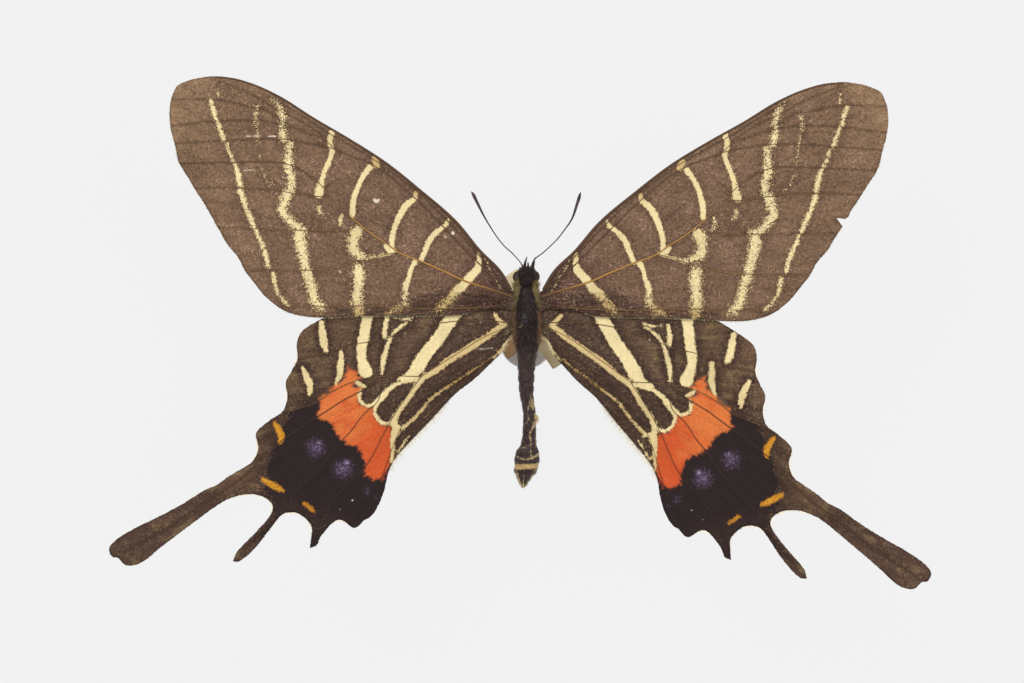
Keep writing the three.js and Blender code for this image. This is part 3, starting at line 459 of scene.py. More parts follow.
# Cream lines on the abdomen: tone, strength and points x, y, width, seen from above.
ABDOMEN_LINES = [
    (0.4, 0.6, [(0.6, -7.4, 0.06), (0.42, -8.4, 0.1), (0.18, -9.4, 0.12), (0.12, -10.2, 0.12)]),
    (0.6, 0.6, [(0.75, -8.1, 0.3), (0.8, -8.9, 0.55), (0.85, -9.5, 0.3)]),
    (0.3, 0.75, [(0.12, -10.2, 0.18), (0.22, -10.9, 0.1), (-0.05, -11.4, 0.08)]),
    (0.5, 0.85, [(1.0, -11.5, 0.3), (0.75, -12.2, 0.24), (0.4, -12.8, 0.18)]),
    (0.4, 0.65, [(0.3, -12.8, 0.12), (0.55, -13.7, 0.12), (0.5, -14.9, 0.12), (0.7, -16.4, 0.12)]),
    (0.5, 0.6, [(-0.9, -15, 0.08), (-0.1, -14.8, 0.1), (0.5, -14.5, 0.12), (1.3, -14.2, 0.18)]),
    (0.4, 0.65, [(1.15, -13.6, 0.14), (1.25, -14.6, 0.26)]),
    (0.4, 0.75, [(-1.65, -16, 0.12), (-1.2, -16.3, 0.18), (-0.8, -16.5, 0.12)]),
    (0.5, 0.4, [(-0.8, -16.5, 0.1), (0.1, -16.55, 0.1)]),
    (0.3, 0.75, [(0.1, -16.55, 0.12), (0.7, -16.4, 0.2), (1.2, -16.1, 0.24), (1.7, -15.6, 0.2)]),
    (0.8, 0.95, [(-2, -17.45, 0.6), (-1.1, -17.6, 0.75), (-0.4, -17.5, 0.6)]),
    (0.8, 0.95, [(-0.4, -17.5, 0.6), (0.6, -17.55, 0.75), (2, -17.3, 0.85)]),
    (0.5, 0.8, [(-1.55, -18.2, 0.2), (-1.05, -19.5, 0.22), (-0.7, -20.5, 0.25)]),
    (0.5, 0.8, [(1.15, -18, 0.2), (0.4, -19.4, 0.22), (-0.25, -20.5, 0.25)]),
    (0.1, 0.85, [(-0.42, -18.6, 0.12), (-0.5, -19.6, 0.2), (-0.5, -20.5, 0.3)]),
]

chance = np.random.default_rng(SEED)


def smooth_step(values, low, high):
    """0 up to low, 1 from high on, and a soft change between them."""
    share = np.clip((values - low) / (high - low), 0, 1)
    return share * share * (3 - 2 * share)


def bend_between(t, start, end, leave, arrive):
    """Points of a smooth curve from start to end, by the way it leaves and arrives."""
    from_start = (2 * t**3 - 3 * t**2 + 1) * start + (t**3 - 2 * t**2 + t) * leave
    to_end = (3 * t**2 - 2 * t**3) * end + (t**3 - t**2) * arrive
    return from_start + to_end


def smooth_rows(rows, count, places=3):
    """A smooth line through the rows, cut into count even steps along its first columns."""
    rows = np.array(rows, float)
    gaps = np.linalg.norm(np.diff(rows[:, :places], axis=0), axis=1)
    along = np.concatenate([[0.0], np.cumsum(gaps)])
    slopes = np.gradient(rows, along, axis=0)
    want = np.linspace(0, along[-1], count)
    part = np.clip(np.searchsorted(along, want, side="right") - 1, 0, len(gaps) - 1)
    gap = gaps[part][:, None]
    t = ((want - along[part]) / gaps[part])[:, None]
    return bend_between(t, rows[part], rows[part + 1], gap * slopes[part], gap * slopes[part + 1])


def units(vectors):
    """The same directions, each of length 1."""
    return vectors / np.maximum(np.linalg.norm(vectors, axis=-1, keepdims=True), 1e-9)


class Piece:
    """Gathers the surfaces of one piece, in millimetres, and makes them one mesh."""

    def __init__(self, name):
        self.name = name
        self.places = []
        self.faces = []
        self.finish_of = []
        self.fields = {}
        self.count = 0

    def add(self, places, faces, finish, **fields):
        places = np.asarray(places, float)
        for face in faces:
            self.faces.append([int(corner) + self.count for corner in face])
        self.finish_of.extend([finish] * len(faces))
        for name, values in fields.items():
            parts = self.fields.setdefault(name, [])
            parts.append((self.count, np.broadcast_to(np.asarray(values, float), len(places))))
        self.places.append(places)
        self.count += len(places)

    def make(self, finishes, stands_for, slot):
        mesh = bpy.data.meshes.new(self.name)
        mesh.from_pydata((np.concatenate(self.places) * MM).tolist(), [], self.faces)
        for finish in finishes:
            mesh.materials.append(finish)
        mesh.polygons.foreach_set("material_index", self.finish_of)
        mesh.polygons.foreach_set("use_smooth", [True] * len(self.faces))
        for name, parts in self.fields.items():
            values = np.zeros(self.count, np.float32)
            for start, part in parts:
                values[start:start + len(part)] = part
            mesh.attributes.new(name, "FLOAT", "POINT").data.foreach_set("value", values)
        mesh.update()
        piece = bpy.data.objects.new(self.name, mesh)
        bpy.context.scene.collection.objects.link(piece)
        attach(piece, "root")
        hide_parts(*stands_for)
        return piece


def circle(sides):
    """The cosines and sines of even turns round a circle."""
    turn = 2 * np.pi * np.arange(sides) / sides
    return np.cos(turn), np.sin(turn)


def ring_faces(rings, sides):
    """Faces that join rings of points to a closed skin."""
    faces = []
    for ring in range(rings - 1):
        for side in range(sides):
            a = ring * sides + side
            b = ring * sides + (side + 1) % sides
            faces.append((a, b, b + sides, a + sides))
    last = (rings - 1) * sides
    faces.append(tuple(range(sides - 1, -1, -1)))
    faces.append(tuple(range(last, last + sides)))
    return faces


def limb(points, steps, sides=LIMB_SIDES, ridges=0.0, ridge_length=0.3):
    """A round limb through points x, y, z, radius, with fine rings around it if it has ridges."""
    rows = smooth_rows(points, steps)
    middle, radius = rows[:, :3], np.maximum(rows[:, 3], 0.02)
    along = np.concatenate([[0], np.cumsum(np.linalg.norm(np.diff(middle, axis=0), axis=1))])
    radius = radius * (1 - ridges * np.abs(np.cos(np.pi * along / ridge_length)) ** 6)
    forward = units(np.gradient(middle, axis=0))
    side = units(np.cross(forward[0], (0.13, 0.2, 0.97)))
    cosines, sines = circle(sides)
    places = []
    for step in range(steps):
        side = units(side - forward[step] * side.dot(forward[step]))
        across = np.cross(forward[step], side)
        ring = np.outer(cosines, side) + np.outer(sines, across)
        places.append(middle[step] + radius[step] * ring)
    return np.concatenate(places), ring_faces(steps, sides)


def body_skin(sections, rings, lumps):
    """An oval body through its sections, with soft bulges between its rings."""
    rows = smooth_rows(sections, rings, 1)
    cosines, sines = circle(BODY_SIDES)
    places = []
    for y, x, z, half_width, half_height in rows:
        swell = 1 + lumps * np.abs(np.sin(np.pi * y / SEGMENT_LENGTH))
        places.append(np.stack([
            x - np.maximum(half_width, 0.05) * swell * cosines,
            np.full(BODY_SIDES, y),
            z + np.maximum(half_height, 0.05) * swell * sines,
        ], 1))
    return np.concatenate(places), ring_faces(rings, BODY_SIDES)


def turned(profile, sides, x, y):
    """A turned shape from a profile of radius and height, from the axis to the axis."""
    cosines, sines = circle(sides)
    places = []
    for radius, z in profile:
        radius = max(radius, 0.002)
        places.append(np.stack([x + radius * cosines, y + radius * sines, np.full(sides, z)], 1))
    return np.concatenate(places), ring_faces(len(profile), sides)


def scatter_on(places, faces, count):
    """Even random points on a surface, with the outward direction there."""
    corners = []
    for face in faces:
        if len(face) == 4:
            corners.append((face[0], face[1], face[2]))
            corners.append((face[0], face[2], face[3]))
    corners = np.array(corners)
    a, b, c = places[corners[:, 0]], places[corners[:, 1]], places[corners[:, 2]]
    outward = np.cross(b - a, c - a)
    area = np.linalg.norm(outward, axis=1)
    pick = chance.choice(len(corners), count, p=area / area.sum())
    u, v = chance.random((2, count))
    flip = u + v > 1
    u, v = np.where(flip, 1 - u, u), np.where(flip, 1 - v, v)
    roots = a[pick] + (b - a)[pick] * u[:, None] + (c - a)[pick] * v[:, None]
    return roots, units(outward[pick])


def hairs(roots, directions, lengths, widths, curl):
    """Thin blades that taper to a point and are bent by curl."""
    count = len(roots)
    directions = units(directions)
    lengths = np.broadcast_to(lengths, count)[:, None]
    widths = np.broadcast_to(widths, count)[:, None]
    side = units(np.cross(directions, units(chance.normal(size=(count, 3)))))
    bend = np.broadcast_to(curl, (count, 3)) * lengths
    middle = roots + directions * lengths * 0.55 + bend * 0.3
    tips = roots + directions * lengths + bend
    places = np.stack([
        roots - side * widths / 2, roots + side * widths / 2,
        middle - side * widths * 0.4, middle + side * widths * 0.4, tips,
    ], 1).reshape(-1, 3)
    faces = []
    for start in np.arange(count) * HAIR_CORNERS:
        faces.append((start, start + 1, start + 3, start + 2))
        faces.append((start + 2, start + 3, start + 4))
    return {
        "places": places,
        "faces": faces,
        "tip": np.tile([0, 0, 0.5, 0.5, 1], count),
        "shade": np.repeat(chance.random(count), HAIR_CORNERS),
    }


def add_hairs(piece, finish, made, **fields):
    """Add the hairs to a piece, with one value of each field for a whole hair."""
    spread = {name: np.repeat(values, HAIR_CORNERS) if np.ndim(values) else values
              for name, values in fields.items()}
    piece.add(made["places"], made["faces"], finish, tip=made["tip"], shade=made["shade"], **spread)


# Wings


def smooth_outline(points):
    """The outline as a smooth closed line in short steps, with its sharp corners kept."""
    points = np.array(points, float)
    ahead = units(np.roll(points, -1, 0) - points)
    behind = units(points - np.roll(points, 1, 0))
    turn = np.arccos(np.clip((ahead * behind).sum(1), -1, 1))
    made = []
    for i, start in enumerate(points):
        j = (i + 1) % len(points)
        end = points[j]
        length = np.linalg.norm(end - start)
        leave = ahead[i] if turn[i] > SHARP_CORNER else units(ahead[i] + behind[i])
        arrive = behind[j] if turn[j] > SHARP_CORNER else units(ahead[j] + behind[j])
        steps = max(1, round(length / OUTLINE_STEP))
        t = (np.arange(steps) / steps)[:, None]
        made.append(bend_between(t, start, end, length * leave, length * arrive))
    line = np.concatenate(made)
    return line + chance.normal(0, OUTLINE_WOBBLE, line.shape)


def nearest_on_line(places, starts, ends):
    """For each place, the distance to each stretch and how far along it the nearest point is."""
    span = ends - starts
    length = np.maximum((span**2).sum(1), 1e-12)
    offset = places[:, None, :] - starts[None]
    share = np.clip((offset * span[None]).sum(2) / length[None], 0, 1)
    gap = np.linalg.norm(offset - share[..., None] * span[None], axis=2)
    return gap, share


def line_gap(places, line, closed=False):
    """Distance to a line, worked out in parts to save memory."""
    line = np.array(line, float)[:, :2]
    ends = np.roll(line, -1, 0) if closed else line[1:]
    starts = line if closed else line[:-1]
    found = [nearest_on_line(part, starts, ends)[0].min(1)
             for part in np.array_split(places, len(places) // PLACES_AT_ONCE + 1)]
    return np.concatenate(found)


def inside(places, outline):
    """Which places are inside an outline, by how often a level ray from them crosses it."""
    outline = np.array(outline, float)
    after = np.roll(outline, -1, 0)
    crossed = np.zeros(len(places), bool)
    for (ax, ay), (bx, by) in zip(outline, after):
        if ay == by:
            continue
        between = (ay > places[:, 1]) != (by > places[:, 1])
        crossed ^= between & (places[:, 0] < (bx - ax) * (places[:, 1] - ay) / (by - ay) + ax)
    return crossed


def area_gap(places, outline):
    """Distance to an area's edge, negative inside it."""
    gap = line_gap(places, outline, closed=True)
    return np.where(inside(places, outline), -gap, gap)


def stroke_gap(places, strokes):
    """Distance to the nearest stroke's edge, negative inside, and the tone and strength there."""
    best = np.full(len(places), FAR_AWAY)
    total, tones, strengths = np.full((3, len(places)), 1e-9)
    for tone, strength, points in strokes:
        rows = smooth_rows(points, 4 * len(points), 2)
        gap, share = nearest_on_line(places, rows[:-1, :2], rows[1:, :2])
        width = rows[:-1, 2][None] * (1 - share) + rows[1:, 2][None] * share
        gap = (gap - width / 2).min(1)
        best = np.minimum(best, gap)
        nearness = np.exp(-4 * np.clip(gap, -1, 4))
        total += nearness
        tones += nearness * tone
        strengths += nearness * strength
    return best, tones / total, strengths / total


def plain_stroke_gap(places, strokes):
    """Distance to the nearest edge of strokes that have no tone or strength."""
    return stroke_gap(places, [(0, 1, points) for points in strokes])[0]


def nearness(places, x, y, reach):
    """1 in the middle of a round spot, 0 at its edge and less outside it."""
    return 1 - np.hypot(places[:, 0] - x, places[:, 1] - y) / reach


def spread_height(out):
    """Height of the middle of the spread wings, by the distance out from the body."""
    return WING_ROOT_Z + WING_RISE * out - WING_DROOP * out * out


def forewing_height(places):
    """The forewing is arched a little between its hind edge and its front edge."""
    out = np.abs(places[:, 0])
    length = FOREWING_CHORD_GROWTH * out + FOREWING_ROOT_CHORD
    chord = np.clip((places[:, 1] - FOREWING_HIND_EDGE_Y) / length, 0, 1)
    return spread_height(out) + FOREWING_CAMBER * smooth_step(out, 0, 20) * np.sin(np.pi * chord)


def hindwing_height(places):
    """The hindwing lies under the forewing, folded down beside the abdomen."""
    out, y = np.abs(places[:, 0]), places[:, 1]
    sideways, forward = INNER_EDGE_FACING
    from_inner_edge = sideways * (out - INNER_EDGE_OUT) + forward * y
    beside = np.clip(1 - from_inner_edge / HINDWING_FOLD_WIDTH, 0, 1.2)
    behind_root = smooth_step(-y, 0, 5) * (1 - smooth_step(-y, 15, 20))
    fold = HINDWING_FOLD * beside**2 * behind_root
    return spread_height(out) - HINDWING_STEP - fold - TAIL_DROOP * np.maximum(out - TAIL_START, 0)


def forewing_marks(flat):
    """Where the forewing's bands are dusty and where its ground changes colour."""
    out, y = np.abs(flat[:, 0]), flat[:, 1]
    reach = np.linalg.norm(flat - FOREWING_ROOT, axis=1)
    below_vein = 6.2 + 0.5 * (out - 1.9) - y
    low_edge = smooth_step(below_vein, 0.5, 5) * smooth_step(8.6 - y, 0, 3)
    past_middle = smooth_step(out - 31 - 0.31 * (y - 5), -1, 1)
    outer_dust = 0.8 - 0.5 * past_middle
    dusty = np.maximum.reduce([
        outer_dust * smooth_step(out, 27, 33),
        outer_dust * smooth_step(below_vein, -1, 3) * smooth_step(out, 20, 23),
        low_edge * (1 - 0.5 * past_middle),
    ])
    return {
        "dusty": dusty,
        "base_shade": 1 - smooth_step(reach, 1, 13),
        "out_shade": smooth_step(reach, 20, 45),
        "tip_shade": smooth_step(-flat[:, 0] + 0.5 * y, 58, 68),
    }


def hindwing_marks(flat):
    """Distances to the hindwing's patches and spots, and shares of its other colours."""
    violet = np.zeros(len(flat))
    for x, y, reach, strength in VIOLET_DUST:
        violet = np.maximum(violet, strength * np.clip(nearness(flat, x, y, reach), 0, 1))
    return {
        "dusty": np.full(len(flat), 0.06),
        "orange_gap": area_gap(flat, ORANGE_PATCH),
        "orange_warmth": smooth_step(flat[:, 0] - flat[:, 1] * 0.6, -22, -10),
        "black_gap": area_gap(flat, BLACK_AREA),
        "yellow_gap": plain_stroke_gap(flat, YELLOW_SPOTS),
        "violet": violet,
        "tail_shade": smooth_step(-flat[:, 1] - 0.35 * (flat[:, 0] + 34), 20, 25),
    }


WING_KINDS = {
    "forewing": {
        "height": forewing_height, "root": FOREWING_ROOT, "swing": RIGHT_FOREWING_SWING,
        "veins": FOREWING_VEINS, "bands": FOREWING_BANDS, "shades": FOREWING_SHADES,
        "flecks": {"left": FOREWING_FLECKS, "right": RIGHT_FOREWING_FLECKS},
        "marks": forewing_marks,
    },
    "hindwing": {
        "height": hindwing_height, "root": HINDWING_ROOT, "swing": RIGHT_HINDWING_SWING,
        "veins": HINDWING_VEINS, "bands": HINDWING_BANDS, "shades": HINDWING_SHADES,
        "flecks": {"left": HINDWING_FLECKS, "right": RIGHT_HINDWING_FLECKS},
        "marks": hindwing_marks,
    },
}


def sheet_mesh(outline):
    """A fine triangle mesh that fills an outline: its points and its triangles."""
    low, high = outline.min(0), outline.max(0)
    rows = np.arange(low[1], high[1], MESH_STEP * MESH_ROW_SHARE)
    columns = np.arange(low[0], high[0], MESH_STEP)
    x, y = np.meshgrid(columns, rows)
    x = x + (np.arange(len(rows)) % 2)[:, None] * MESH_STEP / 2
    grid = np.stack([x.ravel(), y.ravel()], 1)
    grid = grid[inside(grid, outline)]
    grid = grid[line_gap(grid, outline, closed=True) > 0.6 * MESH_STEP]
    places = np.concatenate([outline, grid + chance.normal(0, MESH_WOBBLE, grid.shape)])
    loop = [list(range(len(outline)))]
    made = delaunay_2d_cdt([Vector(place) for place in places], [], loop, 1, 1e-5)
    return np.array([tuple(place) for place in made[0]]), [tuple(face) for face in made[2]]


def rim_of(triangles):
    """The directed edges that only one triangle uses."""
    edges = set()
    for a, b, c in triangles:
        edges.update(((a, b), (b, c), (c, a)))
    return [edge for edge in sorted(edges) if (edge[1], edge[0]) not in edges]


class Wing:
    """One wing, laid out as the left one and placed on its side of the body."""

    def __init__(self, side, kind, outline):
        self.side = side
        self.kind = kind
        self.shape = WING_KINDS[kind]
        self.outline = smooth_outline(outline)
        self.piece = Piece(f"{side}_{kind}")
        veins = [points for _, _, _, points in self.shape["veins"]]
        self.vein_lines = [smooth_rows(points, VEIN_RINGS, 2) for points in veins]

    def vein_gap(self, places):
        return np.min([line_gap(places, line) for line in self.vein_lines], axis=0)

    def relief(self, places):
        """The membrane sags a little between its veins and waves slightly."""
        sag = 0.1 * (1 - np.exp(-self.vein_gap(places)))
        x, y = places.T
        wave = np.sin(0.55 * x + 0.3 * y) + 0.6 * np.sin(0.8 * y - 0.35 * x + 1.3)
        return 0.035 * wave * smooth_step(np.abs(x), 3, 9) - sag

    def place(self, flat, height):
        """Left layout points and their heights, put where this wing is."""
        if self.side == "left":
            return np.column_stack([flat, height])
        swing = self.shape["swing"]
        turn = np.array([[math.cos(swing), -math.sin(swing)], [math.sin(swing), math.cos(swing)]])
        swung = (flat - self.shape["root"]) @ turn.T + self.shape["root"]
        return np.column_stack([-swung[:, 0], swung[:, 1], height])

    def facing(self, faces):
        """Faces of the left layout, turned round on a mirrored wing."""
        return faces if self.side == "left" else [tuple(reversed(face)) for face in faces]

    def surface_height(self, flat):
        return self.shape["height"](flat) + self.relief(flat)

    def markings(self, flat):
        """What the wing's colours are worked out from, for each point of its mesh."""
        offset = flat - self.shape["root"]
        gap, tone, strength = stroke_gap(flat, self.shape["bands"])
        return {
            "band_gap": gap, "band_tone": tone, "band_strength": strength,
            "fleck_gap": plain_stroke_gap(flat, self.shape["flecks"][self.side]),
            "shade_gap": plain_stroke_gap(flat, self.shape["shades"]),
            "vein_gap": self.vein_gap(flat),
            "rim_gap": line_gap(flat, self.outline, closed=True),
            "along": np.linalg.norm(offset, axis=1),
            "across": np.arctan2(offset[:, 1], -offset[:, 0]) * 30,
            **self.shape["marks"](flat),
        }

    def add_membrane(self):
        """The thin sheet of the wing, with an upper and a lower side and a thinner rim."""
        flat, triangles = sheet_mesh(self.outline)
        height = self.surface_height(flat)
        thin = np.clip(line_gap(flat, self.outline, closed=True) / 0.3, 0.25, 1) * MEMBRANE / 2
        top = self.place(flat, height + thin)
        bottom = self.place(flat, height - thin)
        count = len(flat)
        faces = list(triangles)
        faces += [tuple(corner + count for corner in reversed(face)) for face in triangles]
        faces += [(a + count, b + count, b, a) for a, b in rim_of(triangles)]
        marks = {name: np.tile(values, 2) for name, values in self.markings(flat).items()}
        under = np.repeat([0.0, 1.0], count)
        places = np.concatenate([top, bottom])
        self.piece.add(places, self.facing(faces), SCALES, under=under, **marks)

    def add_tube(self, line, root_radius, end_radius, tone):
        """A vein along a line, dark at the forewing's root and in the hindwing's black area."""
        flat = line[:, :2]
        height = self.surface_height(flat)
        places = self.place(flat, height)
        radius = np.linspace(root_radius, end_radius, len(flat))
        steps, faces = limb(np.column_stack([places, radius]), len(flat), VEIN_SIDES)
        if self.kind == "forewing":
            tones = tone * (0.2 + 0.8 * smooth_step(-flat[:, 0], 3, 9))
        else:
            tones = tone * smooth_step(area_gap(flat, BLACK_AREA), -0.5, 0.5)
        self.piece.add(steps, faces, VEINS, tone=np.repeat(tones, VEIN_SIDES))

    def add_veins(self):
        for (tone, root_radius, end_radius, _), line in zip(self.shape["veins"], self.vein_lines):
            self.add_tube(line, root_radius, end_radius, tone)
        if self.kind == "forewing":
            front_edge = smooth_rows(FOREWING_FRONT_EDGE, FRONT_EDGE_RINGS, 2)
            self.add_tube(front_edge, *FRONT_EDGE_RADII, FRONT_EDGE_TONE)

    def add_fringe(self, flat, outward, lengths, widths, pale, lift=0.0):
        """A row of fine hairs that lie in the plane of the wing."""
        height = self.surface_height(flat)
        roots = self.place(flat, height)
        ends = self.place(flat + outward, height + lift + chance.normal(0, 0.12, len(flat)))
        made = hairs(roots, ends - roots, lengths, widths, chance.normal(0, 0.12, (len(flat), 3)))
        add_hairs(self.piece, FRINGE, made, pale=pale)

    def add_rim_scales(self):
        """Short scales stand out all round the edge, longer and paler in the bays."""
        ahead = np.roll(self.outline, -1, 0) - self.outline
        outward = units(np.stack([ahead[:, 1], -ahead[:, 0]], 1))
        if inside(self.outline[:1] + outward[:1] * 0.05, self.outline)[0]:
            outward = -outward
        flat = np.repeat(self.outline, RIM_SCALES_PER_STEP, 0)
        ahead = np.repeat(ahead, RIM_SCALES_PER_STEP, 0)
        flat = flat + ahead * chance.random((len(flat), 1))
        outward = np.repeat(outward, RIM_SCALES_PER_STEP, 0)
        outward = outward + chance.normal(0, 0.25, flat.shape)
        pale = np.zeros(len(flat))
        if self.kind == "hindwing":
            for x, y, reach in PALE_BAYS:
                pale = np.maximum(pale, smooth_step(nearness(flat, x, y, reach), 0, 0.4))
        else:
            hind_edge = (flat[:, 1] < 4.5) & (flat[:, 0] < -8)
            outer_edge = (flat[:, 0] + 0.35 * flat[:, 1] < -37) & (flat[:, 1] < 30)
            pale = 0.5 * hind_edge + 0.8 * (outer_edge & ~hind_edge) * chance.random(len(flat))
        keep = flat[:, 0] < -3
        lengths = (0.12 + 0.24 * pale) * chance.uniform(0.6, 1.3, len(flat))
        roots = flat - units(outward) * 0.06
        self.add_fringe(roots[keep], outward[keep], lengths[keep], 0.06, pale[keep])

    def add_inner_fringe(self):
        """Soft pale hair along the hindwing's inner edge, short and yellow near its root."""
        line = smooth_rows(INNER_FRINGE, INNER_FRINGE_HAIRS, 2)
        share = np.linspace(0, 1, len(line))
        long_hair = 1 - smooth_step(share, 0.4, 0.6)
        near_root = smooth_step(share, 0.85, 0.97)
        outward = np.array([0.45, -0.55]) + chance.normal(0, 0.3, line.shape)
        lengths = (0.2 + 1.0 * long_hair + 0.45 * near_root) * chance.uniform(0.3, 1.1, len(line))
        pale = 0.8 - 0.55 * (1 - long_hair) * (1 - near_root)
        self.add_fringe(line - [0.1, -0.1], outward, lengths, 0.03, pale, -0.1)

    def add_root_hair(self):
        """Short hair where the wing meets the body, paler on the hindwing."""
        if self.kind == "forewing":
            middle, spread, lie, shares = (-2.1, 5.6), (0.5, 0.8), (-0.7, 0.25), (0.0, 0.25)
        else:
            middle, spread, lie, shares = (-2.2, 1.9), (0.4, 0.9), (-0.7, -0.1), (0.05, 0.4)
        flat = np.array(middle) + chance.normal(0, 1, (WING_ROOT_HAIRS, 2)) * spread
        flat = flat[inside(flat, self.outline)]
        count = len(flat)
        outward = np.array(lie) + chance.normal(0, 0.25, (count, 2))
        lengths = chance.uniform(0.3, 0.8, count)
        self.add_fringe(flat, outward, lengths, 0.05, chance.uniform(*shares, count), 0.1)

    def make(self, finishes):
        self.add_membrane()
        self.add_veins()
        self.add_rim_scales()
        self.add_root_hair()
        if self.kind == "hindwing":
            self.add_inner_fringe()
        return self.piece.make(finishes, [f"{self.kind}_{self.side}"], "wing")


# Finishes


class Level:
    """A value in a shader, so that sums on it are written as sums."""

    def __init__(self, finish, socket):
        self.finish = finish
        self.socket = socket

    def sum_of(self, operation, *values):
        return self.finish.node("ShaderNodeMath", {"operation": operation}, dict(enumerate(values)))

    def __add__(self, other):
        return self.sum_of("ADD", self, other)

    def __sub__(self, other):
        return self.sum_of("SUBTRACT", self, other)

    def __rsub__(self, other):
        return self.sum_of("SUBTRACT", other, self)

    def __mul__(self, other):
        return self.sum_of("MULTIPLY", self, other)

    def __truediv__(self, other):
        return self.sum_of("DIVIDE", self, other)

    __radd__ = __add__
    __rmul__ = __mul__

    def more_of(self, other):
        return self.sum_of("MAXIMUM", self, other)

    def ramp(self, low, high, start=0.0, end=1.0):
        """Start up to low, end from high on, and a soft change between them."""
        settings = {"interpolation_type": "SMOOTHSTEP"}
        values = {"Value": self, "From Min": low, "From Max": high, "To Min": start, "To Max": end}
        return self.finish.node("ShaderNodeMapRange", settings, values)


def tint(red, green, blue):
    """A colour given as it shows on a screen, 0 to 255, as the light it stands for."""
    return tuple(((level / 255 + 0.055) / 1.055) ** 2.4 for level in (red, green, blue)) + (1,)


DARK_DUST = tint(59, 43, 37)


class Finish:
    """A material whose colour, roughness and relief are worked out from sums."""

    def __init__(self, name):
        self.material = bpy.data.materials.new(name)
        self.material.use_nodes = True
        self.tree = self.material.node_tree
        self.shader = self.tree.nodes["Principled BSDF"]
        self.here = self.node("ShaderNodeTexCoord", {}, {}, "Object")

    def put(self, socket, value):
        if isinstance(value, Level):
            self.tree.links.new(value.socket, socket)
        else:
            socket.default_value = value

    def node(self, kind, settings, values, output=0):
        made = self.tree.nodes.new(kind)
        for name, value in settings.items():
            setattr(made, name, value)
        for name, value in values.items():
            self.put(made.inputs[name], value)
        return Level(self, made.outputs[output])

    def field(self, name):
        """A value that the mesh carries at each of its points."""
        return self.node("ShaderNodeAttribute", {"attribute_name": name}, {}, "Fac")

    def noise(self, scale, detail=2.0, place=None):
        values = {"Vector": place or self.here, "Scale": scale, "Detail": detail}
        return self.node("ShaderNodeTexNoise", {}, values)

    def cells(self, scale):
        return self.node("ShaderNodeTexVoronoi", {}, {"Vector": self.here, "Scale": scale})

    def spot(self, x, y, z):
        return self.node("ShaderNodeCombineXYZ", {}, {"X": x, "Y": y, "Z": z})

    def blend(self, share, first, second):
        settings = {"data_type": "RGBA"}
        return self.node("ShaderNodeMix", settings, {0: share, 6: first, 7: second}, 2)

    def scale(self, colour, share):
        """A colour made lighter or darker."""
        start = colour if isinstance(colour, Level) else colour[:3]
        return self.node("ShaderNodeVectorMath", {"operation": "SCALE"}, {0: start, "Scale": share})

    def relief(self, height, depth, strength):
        """A surface as rough as the height says, with its depth in millimetres."""
        values = {"Height": height, "Distance": depth * MM, "Strength": strength}
        return self.node("ShaderNodeBump", {}, values)

    def done(self, colour, roughness, **others):
        self.put(self.shader.inputs["Base Color"], colour)
        self.put(self.shader.inputs["Roughness"], roughness)
        for name, value in others.items():
            self.put(self.shader.inputs[name.replace("_", " ")], value)
        return self.material


class ScalesFinish(Finish):
    """A wing's material, with the grain and streaks that all its colours share."""

    def __init__(self, kind):
        super().__init__(f"{kind}_scales")
        self.grain = self.noise(7000, 1) - 0.5
        self.specks = self.noise(2800, 2) - 0.5
        self.clouds = self.noise(260, 3) - 0.5
        along_wing = self.spot(self.field("along") * 0.12, self.field("across") * 1.4, 0)
        self.streaks = self.noise(1, 3, along_wing) - 0.5
        self.teeth = self.noise(1500, 2) - 0.5
        self.ragged = self.specks * 0.42 + self.grain * 0.3

    def light(self, grain, specks, clouds, streaks):
        """Unevenness of light and dark, with a share of each kind."""
        grains = 1 + self.grain * grain + self.specks * specks
        return grains + self.clouds * clouds + self.streaks * streaks

    def dark_places(self):
        """Where strokes of darker dusting lie, and where the ground is close to a band."""
        strokes = self.field("shade_gap") + self.ragged * 3 + self.streaks * 2
        beside_bands = (self.field("band_gap") + self.specks).ramp(0.1, 1.5, 1, 0)
        return strokes.ramp(-0.5, 0.8, 1, 0) * 0.7, beside_bands


def forewing_ground(paint):
    """The forewing's brown, darker at its root and paler to its tip, and its light."""
    ground = paint.blend(paint.field("out_shade"), tint(112, 87, 69), tint(120, 94, 73))
    ground = paint.blend(paint.field("tip_shade"), ground, tint(138, 110, 84))
    ground = paint.blend(paint.field("base_shade"), ground, tint(90, 65, 55))
    strokes, beside_bands = paint.dark_places()
    ground = paint.blend(strokes.more_of(beside_bands * 0.2), ground, DARK_DUST)
    return ground, paint.light(1.7, 1.2, 0.7, 0.7)


def hindwing_ground(paint):
    """The hindwing's brown, with olive clouds, dark beside all its patches, and its light."""
    ground = paint.blend(paint.field("along").ramp(8, 26), tint(89, 69, 57), tint(94, 72, 56))
    ground = paint.blend(paint.field("tail_shade"), ground, tint(80, 60, 50))
    strokes, beside_bands = paint.dark_places()
    beside_spots = paint.field("yellow_gap").ramp(0.2, 1.5, 1, 0)
    beside_black = (paint.field("black_gap") + paint.streaks * 3).ramp(0, 3.5, 1, 0)
    beside_patches = beside_spots.more_of(beside_black) * 0.8
    dark = strokes.more_of(beside_bands * 0.8).more_of(beside_patches)
    olive = (paint.noise(520, 3) + paint.streaks * 0.5).ramp(0.5, 0.68) * (1 - dark) * 0.45
    ground = paint.blend(olive, ground, tint(120, 102, 68))
    return paint.blend(dark, ground, DARK_DUST), paint.light(1.4, 0.9, 0.6, 1.1)


